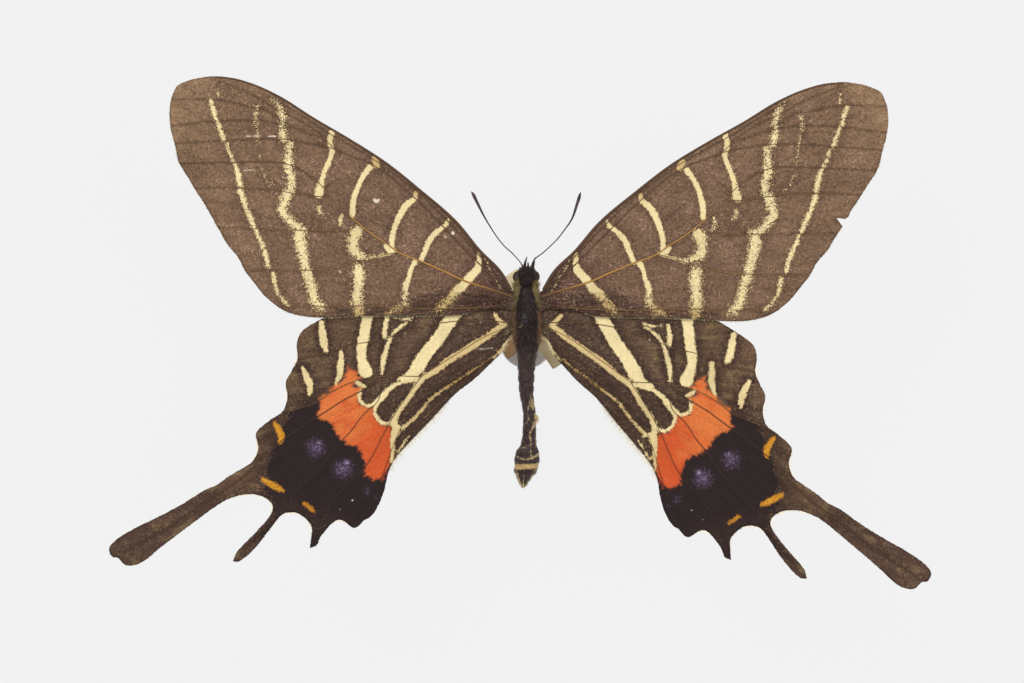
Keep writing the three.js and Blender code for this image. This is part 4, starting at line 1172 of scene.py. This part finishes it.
def ground_paint(paint, kind):
    """The ground with its dark veins and rim and a few pale scales."""
    if kind == "forewing":
        (ground, light), pale_tint = forewing_ground(paint), tint(184, 156, 132)
    else:
        (ground, light), pale_tint = hindwing_ground(paint), tint(150, 126, 96)
    vein_dark = paint.field("vein_gap").ramp(0.05, 0.35, 0.66, 1)
    rim_dark = paint.field("rim_gap").ramp(0.0, 0.35, 0.8, 1)
    colour = paint.scale(ground, light * vein_dark * rim_dark)
    pale_scales = (paint.grain * 1.4 + paint.specks + paint.clouds * 0.6).ramp(0.2, 0.42) * 0.5
    return paint.blend(pale_scales, colour, pale_tint)


def patch_paint(paint, colour):
    """The hindwing's black outer area and the clouded orange patch beside it."""
    clouds, streaks = paint.clouds, paint.streaks
    black = (paint.field("black_gap") + paint.ragged * 2.6 + streaks * 1.6).ramp(-0.2, 0.25, 1, 0)
    black_tint = paint.scale(tint(42, 32, 32), 1 + paint.grain * 0.8 + streaks * 0.5)
    colour = paint.blend(black * (1 - paint.field("tail_shade") * 0.4), colour, black_tint)
    orange_edge = paint.ragged * 2.4 + streaks * 1.2 + paint.teeth * 0.6
    orange = (paint.field("orange_gap") + orange_edge).ramp(-0.28, 0.26, 1, 0)
    warm = (paint.field("orange_warmth") + clouds * 1.8 + streaks * 1.2).ramp(0.1, 0.9)
    orange_tint = paint.blend(warm, tint(208, 113, 59), tint(195, 84, 43))
    red = (paint.noise(420, 3) + streaks * 0.9).ramp(0.5, 0.7) * 0.55
    orange_tint = paint.blend(red, orange_tint, tint(186, 66, 40))
    vein_dark = paint.field("vein_gap").ramp(0.04, 0.22, 0.6, 1)
    orange_light = paint.light(0.7, 0.4, 0, 0.6) * vein_dark
    return paint.blend(orange, colour, paint.scale(orange_tint, orange_light))


def band_paint(paint, kind, colour):
    """The cream bands, ochre at their edges and broken up where they are dusty."""
    if kind == "forewing":
        jags, near_vein = 0.3, paint.field("vein_gap").ramp(0.04, 0.16, 0.55, 1)
    else:
        jags, near_vein = 0.5, paint.field("vein_gap").ramp(0.03, 0.14, 0.45, 1)
    tone = paint.field("band_tone") + paint.field("band_gap").ramp(-0.22, 0.1, 0, 0.4)
    cream_tint = paint.blend(tone, tint(224, 205, 155), tint(174, 142, 84))
    dusty = paint.field("dusty")
    scatter = (paint.grain * 0.65 + paint.specks * 0.35) * (dusty * 6 + 3.5)
    gap = paint.field("band_gap") + paint.teeth * jags
    cover = gap * -1 / (dusty * 0.35 + 0.2) + scatter - dusty * 0.3
    cream = (cover + paint.field("band_strength") * 1.4 - 1.4).ramp(-0.3, 0.45)
    cream_tint = paint.scale(cream_tint, paint.light(0.5, 0.4, 0.5, 0))
    return paint.blend(cream * near_vein, colour, cream_tint)


def spot_paint(paint, colour):
    """The hindwing's yellow spots, and violet dust over its black area."""
    grain, specks, behind = paint.grain, paint.specks, paint.field("tail_shade")
    yellow = (paint.field("yellow_gap") + paint.ragged * 1.7).ramp(-0.16, 0.12, 1, 0)
    bright = (grain + specks * 0.5 - behind * 0.12).ramp(-0.1, 0.12)
    yellow_tint = paint.blend(bright, tint(176, 112, 32), tint(212, 156, 48))
    colour = paint.blend(yellow * (1 - behind * 0.35), colour, yellow_tint)
    violet = paint.field("violet")
    veil = violet.ramp(0.2, 1.0) * (0.45 + specks * 0.9)
    points = (grain * 1.6 + specks + violet * 0.8).ramp(0.35, 0.75) * violet.ramp(0.02, 0.3)
    violet_tint = paint.blend(violet.ramp(0.7, 1), tint(104, 86, 112), tint(196, 182, 204))
    return paint.blend(veil + points * 0.7, colour, violet_tint)


def wing_paint(kind):
    """The scales of a wing: brown ground, cream bands, and the hindwing's patches."""
    paint = ScalesFinish(kind)
    colour = ground_paint(paint, kind)
    if kind == "hindwing":
        colour = patch_paint(paint, colour)
    colour = band_paint(paint, kind, colour)
    if kind == "hindwing":
        colour = spot_paint(paint, colour)
    fleck = (paint.field("fleck_gap") + paint.ragged * 0.4).ramp(-0.06, 0.08, 1, 0)
    colour = paint.blend(fleck * 0.85, colour, tint(226, 214, 192))
    faded = paint.blend(0.35, colour, tint(128, 106, 88))
    colour = paint.blend(paint.field("under"), colour, faded)
    height = paint.grain * 1.2 + paint.specks * 0.6
    return paint.done(
        colour, 0.78 - paint.specks * 0.25,
        Specular_IOR_Level=0.1, Normal=paint.relief(height, 0.03, 0.55),
    )


def vein_paint(kind):
    """Veins, from dark ones to the orange-brown ones along the middle of a wing."""
    paint = Finish(f"{kind}_veins")
    grain = paint.noise(4200, 2) - 0.5
    dark = tint(56, 42, 36) if kind == "hindwing" else tint(78, 58, 46)
    colour = paint.blend(paint.field("tone"), dark, tint(166, 122, 66))
    return paint.done(
        paint.scale(colour, 1 + grain * 0.9), 0.6 + grain * 0.2,
        Specular_IOR_Level=0.15, Normal=paint.relief(grain, 0.02, 0.5),
    )


def hair_paint(name, dark, pale):
    """Hairs that get lighter to their tips and differ from one another."""
    paint = Finish(name)
    share = paint.field("pale")
    colour = paint.blend(share, dark, pale)
    light = 0.7 + paint.field("shade") * 0.6 + paint.field("tip") * 0.15
    streaks = paint.noise(3000, 1) - 0.5
    return paint.done(
        paint.scale(colour, light + streaks * 0.3), 0.55 + streaks * 0.2, Specular_IOR_Level=0.15,
    )


def skin_paint(name, ground, cream_lines=False):
    """Body skin under the hair, with cream scale lines where it has them."""
    paint = Finish(name)
    grain = paint.noise(3600, 2) - 0.5
    plates = paint.noise(700, 2) - 0.5
    colour = paint.scale(ground, 1 + grain * 1.6 + plates * 1.8)
    if cream_lines:
        gap = paint.field("line_gap") + grain * 0.6 + plates * 0.7 + 0.03
        line = gap.ramp(-0.06, 0.1, 1, 0) * paint.field("line_strength")
        cream = paint.blend(paint.field("line_tone"), tint(218, 198, 152), tint(184, 146, 90))
        colour = paint.blend(line, colour, paint.scale(cream, 1 + grain * 0.9 + plates * 0.9))
    return paint.done(
        colour, 0.5 + plates * 0.25,
        Specular_IOR_Level=0.2, Normal=paint.relief(grain + plates, 0.05, 0.6),
    )


def eye_paint():
    """A dark, dull eye with fine facets."""
    paint = Finish("eye_facets")
    facets = paint.cells(9000)
    clouds = paint.noise(900, 2) - 0.5
    colour = paint.scale(tint(60, 46, 42), 1 + clouds * 0.9 - facets * 0.3)
    return paint.done(
        colour, 0.55 + clouds * 0.15,
        Coat_Weight=0.04, Specular_IOR_Level=0.12, Normal=paint.relief(facets, 0.015, 0.5),
    )


def card_paint(name, ground, mark):
    """Card with paper fibres, small spots of age and browned edges."""
    paint = Finish(name)
    fibres = paint.noise(1800, 4) - 0.5
    clouds = paint.noise(220, 3) - 0.5
    spots = paint.noise(800, 1).ramp(0.66, 0.74)
    edge = (paint.field("edge_gap") + fibres * 0.4).ramp(0.0, 0.5, 1, 0)
    colour = paint.scale(ground, 1 + fibres * 0.28 + clouds * 0.3)
    colour = paint.blend(spots * 0.35 + edge * 0.45, colour, mark)
    return paint.done(
        colour, 0.85 + fibres * 0.1,
        Specular_IOR_Level=0.25, Normal=paint.relief(fibres, 0.06, 0.5),
    )


def foot_paint():
    """Grey paint with a fine orange-peel surface and small worn spots."""
    paint = Finish("foot_grey")
    peel = paint.noise(1400, 2) - 0.5
    clouds = paint.noise(300, 3) - 0.5
    worn = (paint.noise(900, 4) + paint.field("edge") * 0.16).ramp(0.66, 0.72)
    colour = paint.blend(worn, tint(200, 201, 203), tint(222, 222, 220))
    colour = paint.scale(colour, 1 + clouds * 0.25 + peel * 0.1)
    return paint.done(
        colour, 0.42 + clouds * 0.2, Metallic=worn * 0.8, Normal=paint.relief(peel, 0.04, 0.4),
    )


def pin_paint():
    """Steel wire with fine drawing marks and a black enamelled head."""
    paint = Finish("pin_enamelled_steel")
    drawn_place = paint.node(
        "ShaderNodeVectorMath", {"operation": "MULTIPLY"}, {0: paint.here, 1: (6000, 6000, 260)},
    )
    drawn = paint.noise(1, 2, drawn_place) - 0.5
    head = paint.field("head")
    specks = paint.noise(2600, 2) - 0.5
    colour = paint.blend(head, tint(120, 118, 116), tint(31, 25, 29))
    colour = paint.scale(colour, 1 + drawn * 0.5 + specks * 0.2)
    return paint.done(
        colour, 0.36 + drawn * 0.2 + specks * 0.1,
        Metallic=1 - head, Coat_Weight=head * 0.1, Specular_IOR_Level=0.25,
        Normal=paint.relief(drawn, 0.01, 0.3),
    )


# Body


def abdomen_marks(places):
    """Distance to the abdomen's cream lines, their tone, and their strength, less below."""
    gap, tone, strength = stroke_gap(places[:, :2], ABDOMEN_LINES)
    above = places[:, 2] > np.interp(places[:, 1], *np.array(ABDOMEN_SECTIONS)[:, [0, 2]].T)
    return {
        "line_gap": gap, "line_tone": tone,
        "line_strength": np.where(above, strength, strength * 0.6),
    }


def body_piece(name, sections, lumps, rings, hair_count, hair_lengths, hair_lie, marks=None):
    """A body section with its skin, and the roots and lie of a coat of hair for it."""
    piece = Piece(name)
    places, faces = body_skin(sections, rings, lumps)
    piece.add(places, faces, SKIN, **(marks(places) if marks else {}))
    roots, outward = scatter_on(places, faces, hair_count)
    lengths = chance.uniform(*hair_lengths, hair_count)
    directions = outward * 0.35 + np.array(hair_lie) + chance.normal(0, 0.22, roots.shape)
    return piece, roots, directions, lengths


def add_coat(piece, roots, directions, lengths, width, pale, finish=COAT):
    """Straight hairs on a piece, each with its own share of the paler colour."""
    made = hairs(roots, directions, lengths, width, (0, 0, 0))
    add_hairs(piece, finish, made, pale=pale)


def tuft(piece, middle, spread, lie, count, lengths, pale, finish=COAT):
    """A loose tuft: roots scattered about a middle, all lying much the same way."""
    roots = np.array(middle) + chance.normal(0, 1, (count, 3)) * spread
    directions = np.array(lie) + chance.normal(0, 0.2, (count, 3))
    shares = np.clip(pale + chance.normal(0, 0.15, count), 0, 1)
    add_coat(piece, roots, directions, chance.uniform(*lengths, count), 0.04, shares, finish)


def make_thorax(finishes):
    """The thorax, with its dark coat, olive tufts beside the collar, browner sides, and a few pale
    hairs on top that are a painted highlight.
    """
    piece, roots, directions, lengths = body_piece(
        "thorax_body", THORAX_SECTIONS, 0.0, 60, THORAX_HAIRS, (0.45, 1.0), (0, -0.9, 0),
    )
    x, y, _ = roots.T
    side_brown = smooth_step(np.abs(x), 1.2, 1.5) * (1 - smooth_step(y, 4, 5)) * 0.35
    pale = side_brown * chance.uniform(0.4, 1, len(x)) + chance.random(len(x)) ** 3 * 0.3
    keep = (y <= 6.2) | (np.abs(x + 0.1) <= 0.55)
    add_coat(piece, roots[keep], directions[keep], lengths[keep], 0.05, pale[keep])
    for side, lean in ((-1, -0.2), (1, 0)):
        lie = (side * 0.55, 0.7, 0.3)
        tuft(piece, (side + lean, 7.5, 25.6), (0.2, 0.3, 0.2), lie, 700, (0.5, 1.1), 0.9)
        for share in np.linspace(0, 1, 9):
            middle = (side * (1.1 + 0.35 * share) + lean, 7.5 - 2.4 * share, 26 + 0.2 * share)
            lie = (side * (0.6 - 0.2 * share), -0.8, 0.05)
            tuft(piece, middle, (0.2, 0.25, 0.2), lie, 230, (0.45, 0.95), 0.95 - 0.4 * share)
        for y in np.linspace(4.2, 0.6, 10):
            middle = (side * 1.35, y, 26.4)
            lie = (side * 0.6, -0.85, 0.02)
            tuft(piece, middle, (0.12, 0.25, 0.12), lie, 150, (0.6, 1.3), 0.04, SIDE_COAT)
        middle, lie = (side * 1.55, 0.9, 26), (side * 0.45, -0.85, 0.05)
        tuft(piece, middle, (0.15, 0.2, 0.15), lie, 260, (0.6, 1.2), 0.85, SIDE_COAT)
    tuft(piece, (0, -0.9, 26.4), (0.55, 0.45, 0.2), (0, -1, -0.05), 900, (0.5, 1.1), 0.05)
    # A few pale hairs on top of the thorax beside the pin head: a painted highlight that stands for
    # the glints there.
    lie = (0.1, -0.8, 0.1)
    tuft(piece, (-0.7, 2.3, 27.3), (0.2, 0.2, 0.03), lie, 26, (0.2, 0.4), 1.0, SIDE_COAT)
    return piece.make(finishes, ["thorax"], "body_hair")


def make_abdomen(finishes):
    """The abdomen, with pale hair along its cream lines and a ruffled tuft at its side."""
    piece, roots, directions, lengths = body_piece(
        "abdomen_body", ABDOMEN_SECTIONS, 0.07, 150, ABDOMEN_HAIRS, (0.12, 0.42), (0, -1.1, 0),
        abdomen_marks,
    )
    gap, tone, strength = stroke_gap(roots[:, :2], ABDOMEN_LINES)
    pale = np.where(gap < 0, strength * (1 - 0.4 * tone), chance.random(len(gap)) ** 3 * 0.4)
    add_coat(piece, roots, directions, lengths, 0.035, pale)
    for y, x, count in ((-8.5, 0.65, 60), (-9.4, 0.75, 60), (-11.2, 0.85, 90), (-11.9, 0.75, 60)):
        tuft(piece, (x, y, 24.6), (0.08, 0.3, 0.15), (0.45, -0.8, 0.1), count, (0.3, 0.6), 0.75)
    tuft(piece, (0.9, -10.6, 24.8), (0.12, 0.28, 0.1), (0.85, -0.45, 0.1), 280, (0.5, 1.0), 0.9)
    return piece.make(finishes, ["abdomen"], "body_hair")


def ball(middle, radii, rings, sides):
    """A ball about a middle, with a radius for each axis."""
    cosines, sines = circle(sides)
    places = []
    for rise in np.linspace(-np.pi / 2, np.pi / 2, rings):
        flat = max(math.cos(rise), 0.01)
        ring = np.stack([flat * cosines, flat * sines, np.full(sides, math.sin(rise))], 1)
        places.append(np.array(middle) + ring * radii)
    return np.concatenate(places), ring_faces(rings, sides)


def make_head(finishes):
    """The head, with its eyes and its two palps that reach forward."""
    piece, roots, directions, lengths = body_piece(
        "head_body", HEAD_SECTIONS, 0.0, 30, HEAD_HAIRS, (0.25, 0.6), (0, 0.35, 0.1),
    )
    add_coat(piece, roots, directions, lengths, 0.04, chance.random(HEAD_HAIRS) ** 4 * 0.5)
    for eye in EYES:
        places, faces = ball(eye, (EYE_RADIUS * 0.86, EYE_RADIUS, EYE_RADIUS), 17, 30)
        piece.add(places, faces, EYES_FINISH)
    for palp in PALPS:
        places, faces = limb(palp, 16)
        piece.add(places, faces, SKIN)
        roots, outward = scatter_on(places, faces, PALP_HAIRS)
        lie = outward * 0.2 + np.array([0, 0.95, 0.15]) + chance.normal(0, 0.12, roots.shape)
        add_coat(piece, roots, lie, chance.uniform(0.12, 0.34, PALP_HAIRS), 0.035, 0.12)
    return piece.make(finishes, ["head"], "body_hair")


def make_antenna(side, finish):
    """A ringed antenna that thickens to a club."""
    piece = Piece(f"{side}_antenna")
    places, faces = limb(ANTENNAE[side], 220, LIMB_SIDES, 0.16, 0.26)
    piece.add(places, faces, SKIN)
    return piece.make([finish], [f"antenna_{side}"], "limb")


def make_leg(name, side, finishes):
    """A jointed leg folded under the body, with short spines on its outer half."""
    piece = Piece(f"{side}_{name}_leg")
    points = np.array(LEGS[name])
    if side == "right":
        points[:, 0] *= -1
    places, faces = limb(points, 90, LIMB_SIDES, 0.06, 0.5)
    piece.add(places, faces, SKIN)
    outer_half = smooth_rows(points, 60)[24:]
    spines = np.repeat(outer_half, SPINES_PER_STEP, 0)
    around = units(chance.normal(0, 1, (len(spines), 3)))
    lie = around + np.array([0, -0.5, -0.4])
    add_coat(piece, spines[:, :3], lie, spines[:, 3] + 0.12, 0.03, 0.1)
    return piece.make(finishes, [f"leg_{name}_{side}"], "limb")


def make_proboscis(finish):
    """A flat spiral coil under the head."""
    coil = PROBOSCIS
    steps = 90
    share = np.linspace(0, 1, steps)
    angle = np.pi / 2 - share * coil["turns"] * 2 * np.pi
    reach = coil["radius"] * (1 - 0.62 * share)
    middle = np.stack([
        np.full(steps, coil["x"]) + 0.1 * share,
        coil["y"] + reach * np.cos(angle), coil["z"] + reach * np.sin(angle),
    ], 1)
    radius = coil["thickness"] * (1 - 0.45 * share)
    places, faces = limb(np.column_stack([middle, radius]), 260, 10, 0.1, 0.12)
    piece = Piece("coiled_tongue")
    piece.add(places, faces, SKIN)
    return piece.make([finish], ["proboscis"], "limb")


# Pin, labels and foot


def make_pin(finish):
    """The pin's point and shaft, and its ball head."""
    piece = Piece("insect_pin")
    top = PIN_TIP_Z + PIN_LENGTH
    neck = top - 1.7 * PIN_HEAD_RADIUS
    shaft = [(0, PIN_TIP_Z), (0.03, PIN_TIP_Z + 0.05), (PIN_RADIUS, PIN_TIP_Z + PIN_POINT)]
    shaft += [(PIN_RADIUS, z) for z in np.linspace(PIN_TIP_Z + PIN_POINT + 0.5, neck, 24)]
    shaft += [(0, neck + 0.02)]
    places, faces = turned(shaft, 24, PIN_X, PIN_Y)
    piece.add(places, faces, SKIN, head=0)
    centre = (PIN_X, PIN_Y, top - 0.92 * PIN_HEAD_RADIUS)
    size = PIN_HEAD_RADIUS
    places, faces = ball(centre, (size, size, size * 0.9), 21, 32)
    piece.add(places, faces, SKIN, head=1)
    return piece.make([finish], ["pin"], "pin_steel")


def make_label(name, label, finish, node, slot):
    """A card lying flat on the pin, a little curled, with slightly rubbed corners."""
    steps = np.linspace(-1, 1, CARD_POINTS)
    u, v = np.meshgrid(steps, steps)
    rub = 1 - 0.012 * (np.abs(u) ** 14 * np.abs(v) ** 14)
    x, y = u * rub * label["width"] / 2, v * rub * label["length"] / 2
    edge_gap = np.minimum(label["width"] / 2 - np.abs(x), label["length"] / 2 - np.abs(y))
    curl = 0.16 * (v**2 * 0.6 + u**2 * 0.3) + 0.03 * np.sin(3 * u + 2 * v)
    cosine, sine = math.cos(LABEL_TURN), math.sin(LABEL_TURN)
    across = label["x"] + x * cosine - y * sine
    along = label["y"] + x * sine + y * cosine
    top = np.stack([across, along, label["z"] + curl + LABEL_THICKNESS / 2], 2).reshape(-1, 3)
    bottom = top - np.array([0, 0, LABEL_THICKNESS])
    count = len(top)
    corner = np.arange(count).reshape(CARD_POINTS, CARD_POINTS)
    cells = np.stack([corner[:-1, :-1], corner[:-1, 1:], corner[1:, 1:], corner[1:, :-1]], 2)
    faces = [tuple(cell) for cell in cells.reshape(-1, 4)]
    faces += [tuple(c + count for c in reversed(face)) for face in faces[:]]
    ring = np.concatenate([corner[0], corner[1:, -1], corner[-1, -2::-1], corner[-2:0:-1, 0]])
    for a, b in zip(ring, np.roll(ring, -1)):
        faces.append((a + count, b + count, b, a))
    piece = Piece(name)
    gaps = np.tile(edge_gap.ravel(), 2)
    piece.add(np.concatenate([top, bottom]), faces, SKIN, edge_gap=gaps)
    return piece.make([finish], [node], slot)


def make_foot(finish):
    """A round foot with softened edges and a shallow groove around its side."""
    edge = FOOT_EDGE
    rounding = [
        (FOOT_RADIUS - edge * (1 - math.sin(turn)), FOOT_HEIGHT - edge * (1 - math.cos(turn)))
        for turn in np.linspace(0, math.pi / 2, 7)
    ]
    below = [(radius, FOOT_HEIGHT - z) for radius, z in reversed(rounding)]
    groove = [(FOOT_RADIUS, 0.9), (FOOT_RADIUS - 0.12, 1.0), (FOOT_RADIUS - 0.12, 1.15),
              (FOOT_RADIUS, 1.25)]
    side = groove + [(FOOT_RADIUS, z) for z in np.linspace(1.6, FOOT_HEIGHT - 0.7, 6)]
    recess = [(0, 0.25), (FOOT_RADIUS - 0.9, 0.25), (FOOT_RADIUS - 0.75, 0.0)]
    flat_top = [(radius, FOOT_HEIGHT) for radius in (2.6, 1.6, 0.8, 0)]
    profile = recess + below + side + rounding[::-1] + flat_top
    places, faces = turned(profile, FOOT_SIDES, 0, 0)
    radius, height = np.array(profile).T
    near_edge = (radius > FOOT_RADIUS - edge) & ((height < edge) | (height > FOOT_HEIGHT - edge))
    piece = Piece("round_foot")
    piece.add(places, faces, SKIN, edge=np.repeat(near_edge * 1.0, FOOT_SIDES))
    return piece.make([finish], ["foot"], "foot_metal")


# Stage: floor, light and camera


def make_floor():
    """A white lit table, even all over, as under a specimen on a light box."""
    mesh = bpy.data.meshes.new("floor_sheet")
    corners = [(x * FLOOR_HALF_WIDTH, y * FLOOR_HALF_WIDTH, -FLOOR_DROP)
               for x, y in ((-1, -1), (1, -1), (1, 1), (-1, 1))]
    mesh.from_pydata(corners, [], [(0, 1, 2, 3)])
    floor = bpy.data.objects.new("floor_sheet", mesh)
    bpy.context.scene.collection.objects.link(floor)
    paint = Finish("floor_white")
    weave = paint.noise(40, 2) - 0.5
    mesh.materials.append(paint.done(
        paint.scale(tint(40, 40, 40), 1 + weave * 0.02), 0.9,
        Emission_Color=tint(241, 241, 241), Emission_Strength=FLOOR_GLOW, Specular_IOR_Level=0.0,
    ))


def make_light(name, place, size, power):
    """A round soft light that points at the middle of the scene."""
    lamp = bpy.data.lights.new(name, "AREA")
    lamp.shape = "DISK"
    lamp.size = size
    lamp.energy = power
    light = bpy.data.objects.new(name, lamp)
    light.location = place
    light.rotation_euler = Vector(place).to_track_quat("Z", "Y").to_euler()
    bpy.context.scene.collection.objects.link(light)


def make_stage():
    """The floor, the lights and the plain bright surroundings."""
    scene = bpy.context.scene
    make_floor()
    for name, place, size, power in LIGHTS:
        make_light(name, place, size, power)
    world = bpy.data.worlds.new("studio_air")
    world.use_nodes = True
    world.node_tree.nodes["Background"].inputs["Color"].default_value = (1, 1, 1, 1)
    world.node_tree.nodes["Background"].inputs["Strength"].default_value = AIR_LIGHT
    scene.world = world
    scene.view_settings.view_transform = "Standard"


def make_camera():
    """Straight above and far away, so that VIEW_WIDTH fills the picture at the wings."""
    lens = bpy.data.cameras.new("photo_camera")
    lens.sensor_width = SENSOR_WIDTH
    lens.lens = SENSOR_WIDTH * CAMERA_RISE / VIEW_WIDTH
    lens.clip_end = 10
    camera = bpy.data.objects.new("photo_camera", lens)
    camera.location = (CAMERA_X * MM, 0, (CAMERA_RISE + WING_ROOT_Z + WING_MIDDLE_RISE) * MM)
    bpy.context.scene.collection.objects.link(camera)
    bpy.context.scene.camera = camera


def make_wings():
    """The four wings, the right forewing with its torn nick."""
    at = FOREWING_OUTLINE.index(NICK_AFTER) + 1
    torn = FOREWING_OUTLINE[:at] + TORN_NICK + FOREWING_OUTLINE[at:]
    outlines = {
        ("left", "forewing"): FOREWING_OUTLINE, ("right", "forewing"): torn,
        ("left", "hindwing"): HINDWING_OUTLINE, ("right", "hindwing"): HINDWING_OUTLINE,
    }
    fringe = hair_paint("wing_edge_hair", tint(74, 56, 46), tint(236, 222, 182))
    finishes = {kind: [wing_paint(kind), vein_paint(kind), fringe] for kind in WING_KINDS}
    for (side, kind), outline in outlines.items():
        Wing(side, kind, outline).make(finishes[kind])


def make_body():
    """The natural pieces other than the wings, with their finishes."""
    coat = hair_paint("body_hair", tint(52, 41, 47), tint(142, 126, 84))
    side_coat = hair_paint("side_hair", tint(104, 74, 58), tint(206, 184, 136))
    thorax_skin = skin_paint("thorax_skin", tint(38, 30, 34))
    abdomen_skin = skin_paint("abdomen_skin", tint(53, 40, 41), cream_lines=True)
    abdomen_coat = hair_paint("abdomen_hair", tint(57, 43, 43), tint(208, 182, 134))
    dark_skin = skin_paint("limb_skin", tint(50, 40, 36))
    horn = skin_paint("antenna_skin", tint(66, 54, 54))
    make_thorax([thorax_skin, coat, side_coat])
    make_abdomen([abdomen_skin, abdomen_coat])
    make_head([thorax_skin, coat, eye_paint()])
    for side in ("left", "right"):
        make_antenna(side, horn)
        for name in LEGS:
            make_leg(name, side, [dark_skin, coat])
    make_proboscis(dark_skin)


def make_holder():
    """The pin, the two labels on it and the foot that it stands in."""
    make_pin(pin_paint())
    tan = card_paint("upper_card", tint(250, 233, 192), tint(218, 190, 142))
    brown = card_paint("lower_card", tint(200, 164, 126), tint(150, 116, 82))
    make_label("upper_card", UPPER_LABEL, tan, "label_upper", "card_tan")
    make_label("lower_card", LOWER_LABEL, brown, "label_lower", "card_brown")
    make_foot(foot_paint())


make_camera()
make_wings()
make_body()
make_holder()
make_stage()
